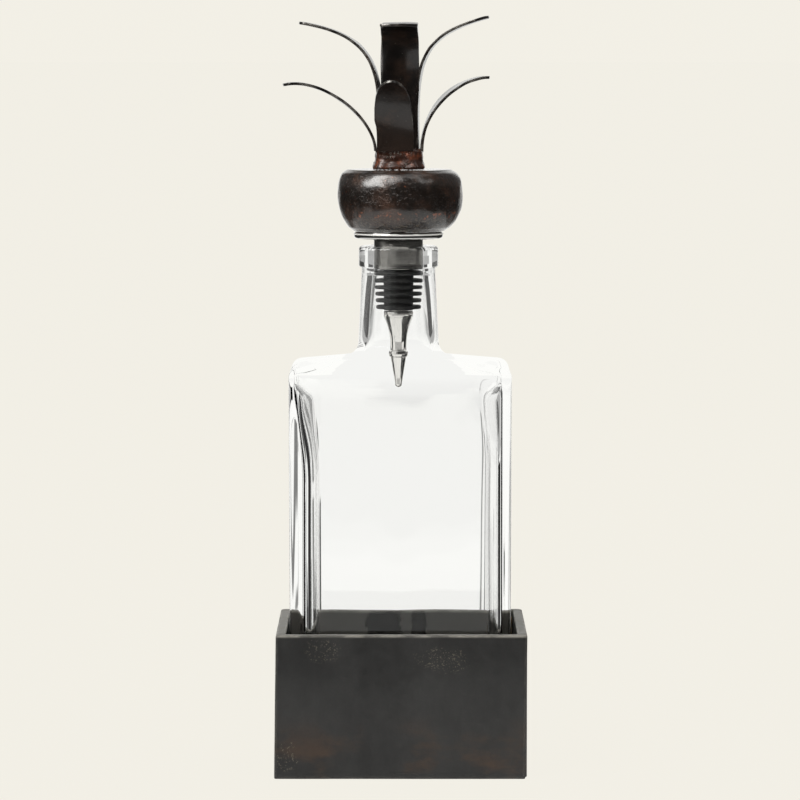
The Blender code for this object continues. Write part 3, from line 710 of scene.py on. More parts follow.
@dataclass(frozen=True)
class RustyWeld(Finish):
    """Lumpy weld, rust brown with silvery specks, under lacquer."""

    name: str = "rusty_lacquered_weld"
    dark: Colour = (0.036, 0.012, 0.006)
    rust: Colour = (0.20, 0.050, 0.015)
    silver: Colour = (0.30, 0.28, 0.25)

    def paint(self, graph: Graph, place: Socket) -> None:
        """Lays rust and bare specks over the dark weld.

        Args:
            graph: Graph of the material.
            place: Socket of the object coordinates.
        """
        cloud = graph.noise(place, 190.0, 4.0, 0.62)
        colour = graph.tint(graph.remap(cloud, 0.48, 0.72), self.dark, self.rust)
        bare = graph.remap(graph.noise(place, 1100.0, 3.0), 0.56, 0.64)
        bare = graph.times(bare, graph.remap(graph.noise(place, 130.0, 1.0), 0.50, 0.62, 0.0, 0.7))
        inputs = {
            "Base Color": graph.tint(bare, colour, self.silver),
            "Metallic": graph.remap(bare, 0.0, 1.0, 0.2, 0.9),
            "Roughness": graph.remap(cloud, 0.3, 0.7, 0.25, 0.5),
            "Coat Weight": 0.6,
            "Coat Roughness": 0.12,
            "Normal": graph.bump(graph.noise(place, 700.0, 4.0, 0.6), 0.0003, 0.8),
        }
        graph.shade(inputs)


@dataclass(frozen=True)
class ForgedLeafSteel(Finish):
    """Hammered sheet, dark brown under satin lacquer, with bare steel along the cut edges."""

    name: str = "forged_leaf_sheet"
    dark: Colour = (0.010, 0.0075, 0.0065)
    brown: Colour = (0.040, 0.022, 0.014)
    bare: Colour = (0.20, 0.185, 0.165)
    root_height: float = 263.5 * MM

    def paint(self, graph: Graph, place: Socket) -> None:
        """Lays brown clouds, warm roots, bare edges and specks over the dark sheet.

        Args:
            graph: Graph of the material.
            place: Socket of the object coordinates.
        """
        cloud = graph.noise(place, 70.0, 5.0, 0.62)
        warm = graph.remap(graph.part(place, Axis.Z), self.root_height + 26 * MM, self.root_height, 0.0, 1.1)
        tone = graph.maths("MAXIMUM", graph.remap(cloud, 0.46, 0.70), graph.times(warm, cloud))
        colour = graph.tint(tone, self.dark, self.brown)
        patchy = graph.remap(graph.noise(place, 170.0, 4.0, 0.6), 0.42, 0.64, 0.0, 0.75)
        colour = graph.tint(graph.times(graph.stored("wear"), patchy), colour, self.bare)
        speck = graph.remap(graph.noise(place, 900.0, 1.0), 0.76, 0.80, 0.0, 0.5)
        hammer = graph.maths("ADD", graph.noise(place, 150.0, 2.0), graph.noise(place, 900.0, 3.0))
        inputs = {
            "Base Color": graph.tint(speck, colour, self.bare),
            "Metallic": 0.45,
            "Roughness": graph.remap(cloud, 0.3, 0.7, 0.30, 0.48),
            "Coat Weight": 0.8,
            "Coat Roughness": 0.16,
            "Normal": graph.bump(hammer, 0.00022, 0.6),
        }
        graph.shade(inputs)


class RuleTree:
    """A Geometry Nodes tree with named inputs, run once on a piece and turned into its plain mesh."""

    def __init__(self, name: str, sockets: dict[str, str]) -> None:
        """Starts the tree.

        Args:
            name: Name of the tree.
            sockets: Name and kind of each input between the geometry and the material.
        """
        self.group = bpy.data.node_groups.new(name, "GeometryNodeTree")
        self.graph = Graph(self.group)
        face = self.group.interface
        for title, kind in {"Geometry": "Geometry", **sockets, "Material": "Material"}.items():
            face.new_socket(title, in_out="INPUT", socket_type="NodeSocket" + kind)
        face.new_socket("Geometry", in_out="OUTPUT", socket_type="NodeSocketGeometry")
        self.inputs = self.graph.add("NodeGroupInput").outputs

    def end(self, *parts: Socket) -> None:
        """Joins the parts, and ends the tree in Realize Instances and Set Material.

        Args:
            *parts: Sockets of the geometry.
        """
        joined = self.graph.add("GeometryNodeJoinGeometry")
        for part in parts:
            self.group.links.new(part, joined.inputs[0])
        real = self.graph.add("GeometryNodeRealizeInstances", {0: joined.outputs[0]})
        inputs = {0: real.outputs[0], "Material": self.inputs["Material"]}
        dressed = self.graph.add("GeometryNodeSetMaterial", inputs)
        self.graph.add("NodeGroupOutput", {0: dressed.outputs[0]})

    def run(self, piece: bpy.types.Object, values: dict[str, Any]) -> bpy.types.Object:
        """Runs the tree on a piece and keeps the result as its mesh.

        Args:
            piece: Object whose mesh goes into the tree.
            values: Value of each named input.

        Returns:
            The same piece, with no modifier left.
        """
        rule = piece.modifiers.new(self.group.name, "NODES")
        rule.node_group = self.group
        for item in self.group.interface.items_tree:
            if item.in_out == "INPUT" and item.name in values:
                rule[item.identifier] = values[item.name]
        bpy.context.view_layer.update()
        depsgraph = bpy.context.evaluated_depsgraph_get()
        made = bpy.data.meshes.new_from_object(
            piece.evaluated_get(depsgraph), preserve_all_data_layers=True, depsgraph=depsgraph
        )
        made.name = piece.name
        piece.modifiers.remove(rule)
        piece.data = made
        return piece


@dataclass
class SteelBox:
    """Open box of five plates with rippled welds along its inside corners."""

    edge: float = 0.7 * MM
    edge_wear: float = 0.12
    spacing: float = 1.6 * MM
    wave: float = 0.12 * MM
    wave_size: float = 18.0 * MM
    wear_size: float = 5.0 * MM
    front_lean: float = 0.8 * MM
    back_corner: float = 3.0 * MM
    weld_crown: float = 0.14
    weld_end: float = 0.7
    ripple_pitch: float = 1.3 * MM
    ripple_height: float = 0.32 * MM
    ripple_noise: float = 260.0
    ripple_bow: float = 0.8
    ripple_rise: float = 1.6
    ripple_level: float = 0.75
    steel: BlackenedSteel = field(default_factory=BlackenedSteel)
    weld: WeldSteel = field(default_factory=WeldSteel)

    def stops(self, low: float, high: float) -> list[float]:
        """Spaces grid lines along one side of a plate, closer together near its edges.

        Args:
            low: Where the side starts.
            high: Where it ends.

        Returns:
            The places of the lines.
        """
        near = [0.0, (1 - tan(pi / 8)) * self.edge, self.edge, 1.9 * self.edge]
        start, end = low + near[-1], high - near[-1]
        inner = max(1, round((end - start) / self.spacing))
        middle = [mix(start, end, step / inner) for step in range(1, inner)]
        return [low + step for step in near] + middle + [high - step for step in reversed(near)]

    def plate(self, node: str, material: bpy.types.Material, lean: float = 0.0, corner: float = 0.0) -> None:
        """Builds one plate with rounded, worn edges over its node.

        Args:
            node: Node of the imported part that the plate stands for.
            material: The plate's finish.
            lean: How far its foot leans to the left.
            corner: Radius of its two upright corners at the back.
        """
        low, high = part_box(node)
        lines = [self.stops(low[axis], high[axis]) for axis in range(3)]
        last = [len(line) - 1 for line in lines]
        found: dict[tuple[int, int, int], int] = {}
        points: list[Vector] = []
        wear: list[float] = []
        faces: list[list[int]] = []

        def point(key: tuple[int, int, int]) -> int:
            """Finds or adds the point where three grid lines meet.

            Args:
                key: Number of the grid line in X, Y and Z.

            Returns:
                The number of the point.
            """
            if key not in found:
                found[key] = len(points)
                points.append(Vector((lines[0][key[0]], lines[1][key[1]], lines[2][key[2]])))
                rims = sorted(min(key[axis], last[axis] - key[axis]) for axis in range(3))
                rim = 1.0 if last[2] - key[2] <= 2 else self.edge_wear
                wear.append(rim if rims[1] <= 2 else 0.0)
            return found[key]

        for axis in range(3):
            across, along = (axis + 1) % 3, (axis + 2) % 3
            for end in (0, last[axis]):
                for i in range(last[across]):
                    for j in range(last[along]):
                        quad = []
                        for a, b in ((i, j), (i + 1, j), (i + 1, j + 1), (i, j + 1)):
                            key = [0, 0, 0]
                            key[axis], key[across], key[along] = end, a, b
                            quad.append(point((key[0], key[1], key[2])))
                        faces.append(quad)
        inner_low = low + Vector((self.edge,) * 3)
        inner_high = high - Vector((self.edge,) * 3)
        placed = []
        for spot, worn in zip(points, wear):
            core = Vector(max(inner_low[k], min(inner_high[k], spot[k])) for k in range(3))
            away = (spot - core).normalized()
            depth = self.wave * (0.5 + 0.5 * ripple(spot, self.wave_size, 3.0))
            depth += self.wave * worn * max(0.0, ripple(spot, self.wear_size, 9.0))
            moved = core + away * (self.edge - depth)
            if corner:
                moved = self.round_corner(moved, low, high, corner)
            moved.x -= lean * (1 - moved.z / high.z)
            placed.append(moved)
        mesh = bpy.data.meshes.new(node + "_finish")
        mesh.from_pydata([tuple(spot) for spot in placed], [], faces)
        paint_points(mesh, "wear", wear)
        seat_mesh(tidy_mesh(mesh, 50.0), material, Body.BASE, node)

    @staticmethod
    def round_corner(spot: Vector, low: Vector, high: Vector, radius: float) -> Vector:
        """Moves a point of a square plate onto its rounded upright back corners.

        Args:
            spot: Point of the square plate.
            low: Lowest corner of the plate.
            high: Highest corner of the plate.
            radius: Radius of the corners.

        Returns:
            The moved point.
        """
        centre_x = max(low.x + radius, min(high.x - radius, spot.x))
        centre_y = min(high.y - radius, spot.y)
        away = Vector((spot.x - centre_x, spot.y - centre_y))
        if abs(away.x) < 1e-7 or away.y < 1e-7:
            return spot
        scale = max(abs(away.x), away.y) / away.length
        return Vector((centre_x + away.x * scale, centre_y + away.y * scale, spot.z))

    def weld_tree(self) -> RuleTree:
        """Builds the tree that gives a smooth fillet its overlapping weld ripples.

        Returns:
            The tree.
        """
        rule = RuleTree("weld_ripples", {"Run": "Vector", "Pitch": "Float", "Height": "Float"})
        graph = rule.graph
        place = graph.add("GeometryNodeInputPosition").outputs[0]
        crown = graph.add("GeometryNodeInputNamedAttribute", {0: "crown"}, data_type="FLOAT").outputs[0]
        along = graph.vector("DOT_PRODUCT", place, rule.inputs["Run"])
        along = graph.maths("DIVIDE", along, rule.inputs["Pitch"])
        uneven = graph.noise(place, self.ripple_noise, 1.0)
        bowed = graph.maths("MULTIPLY_ADD", crown, -self.ripple_bow, graph.maths("ADD", along, uneven))
        scallop = graph.maths("POWER", graph.maths("FRACT", bowed), self.ripple_rise)
        lift = graph.times(graph.maths("SUBTRACT", scallop, self.ripple_level), rule.inputs["Height"], crown)
        offset = graph.scaled(graph.add("GeometryNodeInputNormal").outputs[0], lift)
        moved = graph.add("GeometryNodeSetPosition", {"Geometry": rule.inputs["Geometry"], "Offset": offset})
        rule.end(moved.outputs[0])
        return rule

    def bead(self, node: str, run: Axis, rule: RuleTree, material: bpy.types.Material) -> None:
        """Builds one rippled fillet weld over its node.

        Args:
            node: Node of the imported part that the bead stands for.
            run: Direction of the bead.
            rule: Tree that adds the ripples.
            material: The bead's finish.
        """
        low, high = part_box(node)
        middle = (low + high) / 2
        sides = [axis for axis in range(3) if axis != run.value]
        corner = [low[k] if middle[k] < 0 or k == 2 else high[k] for k in range(3)]
        leg = [1.0 if corner[k] == low[k] else -1.0 for k in range(3)]
        size = min(high[k] - low[k] for k in sides)
        section = [(0.0, 0.0, 0.0)]
        for step in range(11):
            angle = step / 10 * pi / 2
            swell = sin(2 * angle)
            crown = size * (1 + self.weld_crown * swell) / (cos(angle) + sin(angle))
            section.append((crown * cos(angle), crown * sin(angle), swell))
        span = high[run.value] - low[run.value]
        count = round(span / (self.ripple_pitch / 5))
        rings, crowns = [], []
        for step in range(count + 1):
            at = low[run.value] + span * step / count
            end = min(1.0, min(step, count - step) / 4)
            ring = []
            for first, second, share in section:
                spot = Vector((0.0, 0.0, 0.0))
                spot[run.value] = at
                for side, off in zip(sides, (first, second)):
                    spot[side] = corner[side] + leg[side] * off * mix(self.weld_end, 1.0, end)
                ring.append(spot)
                crowns.append(share * end)
            rings.append(ring)
        mesh = loft_mesh(node + "_bead", rings)
        paint_points(mesh, "crown", crowns)
        tidy_mesh(mesh, 60.0)
        direction = [0.0, 0.0, 0.0]
        direction[run.value] = 1.0
        values = {"Run": direction, "Pitch": self.ripple_pitch, "Height": self.ripple_height}
        piece = rule.run(new_object(node + "_bead", mesh), {**values, "Material": material})
        seat_piece(piece, Body.BASE, [node])

    def build(self) -> None:
        """Builds the plates and the welds, and dresses the floor plate."""
        steel = self.steel.material()
        self.plate("front_wall_plate", steel, lean=self.front_lean)
        self.plate("back_wall_plate", steel, corner=self.back_corner)
        for name in ("left_wall", "right_wall", "floor"):
            self.plate(name + "_plate", steel)
        weld = self.weld.material()
        rule = self.weld_tree()
        for side in ("left", "right"):
            for end in ("front", "back"):
                self.bead(f"corner_weld_{end}_{side}", Axis.Z, rule, weld)
            self.bead(f"floor_weld_{side}", Axis.Y, rule, weld)
        for end in ("front", "back"):
            self.bead(f"floor_weld_{end}", Axis.X, rule, weld)


@dataclass
class GlassBottle:
    """Rectangular moulded bottle with thick, slightly uneven walls.

    The even sizes say where the glass shows what is behind it unbent: round the shoulder, from even_below
    under its edge to even_above over the neck's fillet, less from even_half away from the middle, and at the
    lip. The edge sizes say the same of the body's outer corners, as shares of the corner's radius or turn.
    """

    width: float = 94.3 * MM
    depth: float = 76.5 * MM
    shift: float = -0.6 * MM
    corner: float = 10.0 * MM
    draft: float = 0.5 * MM
    wall: float = 5.5 * MM
    floor: float = 13.0 * MM
    shoulder_glass: float = 2.6 * MM
    thickening: float = 38.0 * MM
    cavity_corner: float = 7.0 * MM
    foot_rounding: float = 5.0 * MM
    floor_rounding: float = 5.0 * MM
    shoulder_height: float = 168.3 * MM
    shoulder_rounding: float = 4.5 * MM
    shoulder_turn: float = 78.0
    shoulder_rise: float = 3.2 * MM
    neck_radius: float = 15.7 * MM
    neck_taper: float = 2.7
    neck_fillet: float = 6.0 * MM
    neck_height: float = 46.9 * MM
    bore: float = 10.9 * MM
    bore_depth: float = 13.5 * MM
    bore_widening: float = 2.4 * MM
    bore_bend: float = 0.7
    lip_radius: float = 17.0 * MM
    lip_height: float = 9.5 * MM
    lip_rounding: float = 1.6 * MM
    lip_step: float = 0.2 * MM
    lip_underside: float = 1.3 * MM
    mouth_rounding: float = 0.8 * MM
    outer_wave: float = 0.06 * MM
    inner_wave: float = 0.34 * MM
    inner_sizes: tuple[float, float] = (15.0 * MM, 34.0 * MM)
    outer_size: float = 30.0 * MM
    inner_squash: float = 0.18
    outer_squash: float = 0.3
    calm_neck: float = 0.25
    calm_start: float = 4.0 * MM
    calm_fade: float = 14.0 * MM
    thick_left: float = 2.0 * MM
    left_height: float = 168.0 * MM
    left_fade: float = 45.0 * MM
    right_wall: float = 4.4 * MM
    right_start: float = 25.0 * MM
    right_fade: float = 15.0 * MM
    even_side: float = 0.88
    even_half: float = 18.0 * MM
    even_fade: float = 18.0 * MM
    even_below: float = 15.0 * MM
    even_rise: float = 8.0 * MM
    even_above: float = 7.0 * MM
    even_fall: float = 13.0 * MM
    even_lip: float = 0.4
    even_edge: float = 0.78
    edge_depth: float = 0.82
    edge_skin: float = 0.08
    edge_turn: float = 0.25
    edge_fade: float = 0.4
    edge_end: float = 0.25
    straight: int = 8
    arc: int = 15
    glass: ClearGlass = field(default_factory=ClearGlass)

    def __post_init__(self) -> None:
        """Works out the heights that follow from the sizes."""
        self.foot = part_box("glass_bottle")[0].z
        self.edge = self.foot + self.shoulder_height
        self.neck_base = self.edge + self.shoulder_rise
        self.top = self.neck_base + self.neck_height
        self.rings: list[list[Vector]] = []

    def square(self, half_x: float, half_y: float, radius: float) -> list[Vector]:
        """Draws a rounded rectangle round the origin, counter-clockwise from +X.

        Args:
            half_x: Half of its width.
            half_y: Half of its depth.
            radius: Radius of its corners.

        Returns:
            Its points.
        """
        points = []
        for side in range(4):
            turn = side * pi / 2
            first, second = (half_x, half_y) if side % 2 == 0 else (half_y, half_x)
            local = [(first, (second - radius) * step / self.straight) for step in range(self.straight)]
            for step in range(self.arc):
                angle = step / (self.arc - 1) * pi / 2
                local.append((first - radius + radius * cos(angle), second - radius + radius * sin(angle)))
            for step in range(1, self.straight):
                local.append(((first - radius) * (1 - step / self.straight), second))
            for x, y in local:
                points.append(Vector((x * cos(turn) - y * sin(turn), x * sin(turn) + y * cos(turn), 0.0)))
        return points

    def round(self, radius: float) -> list[Vector]:
        """Draws a circle with as many points as the rounded rectangle.

        Args:
            radius: Radius of the circle.

        Returns:
            Its points.
        """
        count = 4 * (2 * self.straight + self.arc - 1)
        angles = [2 * pi * i / count for i in range(count)]
        return [Vector((radius * cos(angle), radius * sin(angle), 0.0)) for angle in angles]

    def add_square(self, inset: float, corner: float, height: float, face: float | None = None) -> None:
        """Adds a ring of the body.

        Args:
            inset: Distance from the outside of the left and right walls.
            corner: Corner radius before the inset.
            height: Height of the ring.
            face: Distance from the outside of the front and back walls, or None for the same.
        """
        radius = max(corner - inset, MM)
        half_y = self.depth / 2 - (inset if face is None else face)
        shape = self.square(self.width / 2 - inset, half_y, radius)
        self.rings.append([point + Vector((self.shift, 0.0, height)) for point in shape])

    def add_round(self, radius: float, height: float) -> None:
        """Adds a ring of the neck."""
        self.rings.append([point + Vector((CENTRE_X, 0.0, height)) for point in self.round(radius)])

    def add_between(self, inset: float, corner: float, radius: float, share: float, height: float) -> None:
        """Adds a ring between the body's outline and the neck's.

        Args:
            inset: Distance of the body's ring from its outside.
            corner: Corner radius of the body's ring before the inset.
            radius: Radius of the neck's ring.
            share: How far the ring has gone from the body to the neck.
            height: Height of the ring.
        """
        body = self.square(self.width / 2 - inset, self.depth / 2 - inset, max(corner - inset, MM))
        neck = self.round(radius)
        shift = Vector((mix(self.shift, CENTRE_X, share), 0.0, height))
        self.rings.append([a.lerp(b, share) + shift for a, b in zip(body, neck)])

    def neck_at(self, height: float) -> float:
        """Returns the tapered neck's outer radius at a height."""
        return self.neck_radius + (self.top - self.lip_height - height) * tan(radians(self.neck_taper))

    def bore_at(self, height: float) -> float:
        """Finds the radius of the bore, which widens below the seal's top ring.

        Args:
            height: Height of the place.

        Returns:
            The radius.
        """
        narrow, wide = self.top - self.bore_depth, self.neck_base + self.neck_fillet
        share = min(max((narrow - height) / (narrow - wide), 0.0), 1.0)
        return self.bore + self.bore_widening * share**self.bore_bend

    def wall_at(self, drop: float) -> float:
        """Returns the side walls' thickness at a distance below the shoulder."""
        return mix(self.shoulder_glass, self.wall, ease(drop / self.thickening))

    def evenness(self, point: Vector) -> float:
        """Finds how far the glass shows what is behind it unbent.

        Args:
            point: Point of the glass.

        Returns:
            A share from 0 to 1.
        """
        side = mix(self.even_side, 1.0, ease(1 - (abs(point.x - CENTRE_X) - self.even_half) / self.even_fade))
        rising = ease((point.z - self.edge + self.even_below) / self.even_rise)
        falling = ease((self.neck_base + self.neck_fillet + self.even_above - point.z) / self.even_fall)
        lip = self.even_lip * ease((point.z - self.top + self.lip_height) / MM)
        across = max(abs(point.x - self.shift) - self.width / 2 + self.corner, 0.0)
        along = max(abs(point.y) - self.depth / 2 + self.corner, 0.0)
        reach = max(hypot(across, along), MM)
        edge = ease((reach / self.corner - self.edge_depth) / self.edge_skin)
        edge *= ease((across / reach - self.edge_turn) / self.edge_fade)
        edge *= ease(along / reach / self.edge_end)
        return max(side * rising * falling, lip, self.even_edge * edge)

    def outside(self) -> None:
        """Adds the rings of the outer surface, from the foot up to the mouth."""
        size = self.foot_rounding
        for lead, lag in quarter(8):
            self.add_square(self.draft + size * lead, self.corner, self.foot + size * lag)
        start, end = self.foot + self.foot_rounding, self.edge - self.shoulder_rounding
        for step in range(1, 40):
            self.add_square(self.draft * (1 - step / 40), self.corner, mix(start, end, step / 40))
        size = self.shoulder_rounding
        for lead, lag in quarter(16, self.shoulder_turn):
            self.add_square(size * lag, self.corner, self.edge - size * lead)
        neck_start, lip = self.neck_base + self.neck_fillet, self.top - self.lip_height
        foot_radius = self.neck_at(neck_start) + self.neck_fillet
        for step in range(1, 12):
            height = self.edge + self.shoulder_rise * step / 12
            self.add_between(self.shoulder_rounding, self.corner, foot_radius, step / 12, height)
        size = self.neck_fillet
        for lead, lag in quarter(10):
            self.add_round(foot_radius - size * (1 - lead), self.neck_base + size * lag)
        for step in range(1, 13):
            height = mix(neck_start, lip, step / 12)
            self.add_round(self.neck_at(height), height)
        for lead, lag in quarter(6):
            under = self.lip_radius - (self.lip_radius - self.neck_radius) * lead
            self.add_round(under, lip + self.lip_step + self.lip_underside * lag)
        for lead, lag in quarter(7):
            self.add_round(self.lip_radius - self.lip_rounding * lag, self.top - self.lip_rounding * lead)

    def inside(self) -> None:
        """Adds the rings of the inner surface, from the mouth down to the cavity's floor."""
        for lead, lag in quarter(5):
            self.add_round(self.bore + self.mouth_rounding * lead, self.top - self.mouth_rounding * lag)
        edge = self.edge - self.shoulder_glass
        flare_top, flare_drop = self.neck_base + self.neck_fillet, self.neck_fillet + self.shoulder_glass
        flare_radius = self.neck_at(flare_top) + self.neck_fillet
        for step in range(1, 30):
            height = mix(self.top - self.mouth_rounding, flare_top, step / 30)
            self.add_round(self.bore_at(height), height)
        bore = self.bore_at(flare_top)
        for lead, lag in quarter(12):
            self.add_round(mix(flare_radius, bore, 1 - lag), flare_top - flare_drop * (1 - lead))
        corner = self.cavity_corner + self.wall
        for step in range(11, 0, -1):
            share = step / 12
            height = edge + self.shoulder_rise * share
            self.add_between(self.shoulder_rounding, corner, flare_radius, share, height)
        rounding = self.shoulder_rounding - self.shoulder_glass
        for lead, lag in reversed(quarter(12, self.shoulder_turn)):
            self.add_square(self.shoulder_glass + rounding * lag, corner, edge - rounding * lead)
        cavity_floor = self.foot + self.floor
        start, end = edge - rounding, cavity_floor + self.floor_rounding
        for step in range(1, 60):
            height = mix(start, end, step / 60)
            self.add_square(self.wall_at(start - height), corner, height, self.shoulder_glass)
        for lead, lag in quarter(8):
            turn = self.floor_rounding * lag
            height = cavity_floor + self.floor_rounding * lead
            self.add_square(self.wall + turn, corner, height, self.shoulder_glass + turn)

    def uneven(self, first_inner: int) -> None:
        """Gives the walls the slight waves of moulded glass.

        Args:
            first_inner: Number of the first ring of the inner surface.
        """
        for number, ring in enumerate(self.rings):
            inner = number >= first_inner
            for i, point in enumerate(ring):
                away = Vector((point.x - self.shift, point.y, 0.0)).normalized()
                squash = self.inner_squash if inner else self.outer_squash
                tall = Vector((point.x, point.y, point.z * squash))
                if inner:
                    body = ease((self.edge - self.calm_start - point.z) / self.calm_fade)
                    waves = [ripple(tall, size, seed) for size, seed in zip(self.inner_sizes, (5.0, 2.0))]
                    swell = self.inner_wave * sum(waves)
                    moved = point + away * swell * mix(self.calm_neck, 1.0, body)
                    left = ease((self.shift - point.x) / (self.width / 2))
                    left *= ease((self.left_height - point.z) / self.left_fade)
                    right = ease((point.x - self.right_start) / self.right_fade)
                    wall = self.wall_at(self.edge - self.shoulder_rounding - point.z)
                    moved.x += self.thick_left * left + (wall - self.right_wall) * right
                else:
                    moved = point - away * self.outer_wave * (1 + ripple(tall, self.outer_size, 7.0))
                ring[i] = moved

    def build(self) -> None:
        """Builds and dresses the bottle."""
        self.outside()
        first_inner = len(self.rings)
        self.inside()
        self.uneven(first_inner)
        mesh = tidy_mesh(loft_mesh("moulded_glass_bottle", self.rings), 60.0)
        paint_points(mesh, "even", [self.evenness(point.co) for point in mesh.vertices])
        seat_mesh(mesh, self.glass.material(), Body.BOTTLE, "glass_bottle")


@dataclass
class StopperCore:
    """Turned metal body of the stopper with its stem, cone and bead, and the polished disc above it."""

    stem_radius: float = 10.5 * MM
    stem_length: float = 12.8 * MM
    stem_ease: float = 0.4 * MM
    core_radius: float = 4.2 * MM
    cone_top: float = 195.3 * MM
    head_radius: float = 6.3 * MM
    head_length: float = 2.4 * MM
    waist_radius: float = 3.4 * MM
    waist_length: float = 14.7 * MM
    waist_hollow: float = 2.4
    bead_radius: float = 4.15 * MM
    bead_length: float = 2.9 * MM
    tip_radius: float = 1.5 * MM
    stud_hole: float = 3.5 * MM
    stud_depth: float = 8.3 * MM
    rim_easing: float = 0.3 * MM
    head_easing: float = 0.45 * MM
    under_easing: float = 0.2 * MM
    disc_rounding: float = 1.0 * MM
    turned: TurnedSteel = field(default_factory=TurnedSteel)
    polished: PolishedSteel = field(default_factory=PolishedSteel)

    def cone_profile(self) -> Profile:
        """Draws the outline of the stem, core, head, waist, bead and tip, from the stud's hole down.

        Returns:
            Its points, as radius and height.
        """
        low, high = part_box("stopper_cone")
        stem_bottom = high.z - self.stem_length
        hole, size = high.z - self.stud_depth, self.rim_easing
        profile = [(0.0, hole), (self.stud_hole, hole), (self.stud_hole, high.z)]
        profile += arc_points((self.stem_radius - size, high.z - size), size, 90, 0, 4)
        size = self.stem_ease
        profile += arc_points((self.stem_radius - size, stem_bottom + size), size, 0, -90, 5)
        profile += [(self.core_radius, stem_bottom), (self.core_radius, self.cone_top)]
        head_bottom, size = self.cone_top - self.head_length, self.head_easing
        profile += arc_points((self.head_radius - size, self.cone_top - size), size, 90, 0, 5)
        size = self.under_easing
        profile += arc_points((self.head_radius - size, head_bottom + size), size, 0, -60, 3)
        for step in range(2, 25):
            share = step / 24
            radius = mix(self.waist_radius, self.head_radius, (1 - share) ** self.waist_hollow)
            profile.append((radius, head_bottom - self.waist_length * share))
        waist = head_bottom - self.waist_length
        rise = self.bead_radius - self.waist_radius
        half = self.bead_length / 2
        for step in range(1, 12):
            angle = radians(mix(-90, 90, step / 12))
            profile.append((self.waist_radius + rise * cos(angle), waist - half - half * sin(angle)))
        tip_start = waist - self.bead_length
        profile.append((self.waist_radius, tip_start))
        profile += arc_points((0.0, low.z + self.tip_radius), self.tip_radius, 12, -90, 10)[:-1]
        return profile + [(0.0, low.z)]

    def disc_profile(self) -> Profile:
        """Draws the outline of the disc, as a closed loop.

        Returns:
            Its points, as radius and height.
        """
        low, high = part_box("stopper_flange")
        radius, size = (high.x - low.x) / 2, self.disc_rounding
        profile = [(self.stud_hole, high.z), (radius * 0.6, high.z)]
        profile += arc_points((radius - size, high.z - size), size, 90, 0, 10)
        profile += arc_points((radius - size, low.z + size), size, 0, -90, 10)
        return profile + [(radius * 0.6, low.z), (self.stud_hole, low.z)]

    def build(self) -> None:
        """Builds and dresses the core and the disc, and gives the stud its finish."""
        steel = self.turned.material()
        core = turned_mesh("turned_stopper_core", self.cone_profile(), steps=112)
        seat_mesh(core, steel, Body.STOPPER, "stopper_cone")
        disc = turned_mesh("polished_stopper_disc", self.disc_profile(), steps=144, closed=True)
        seat_mesh(disc, self.polished.material(), Body.STOPPER, "stopper_flange")
        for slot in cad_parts["threaded_stud"].material_slots:
            slot.material = steel


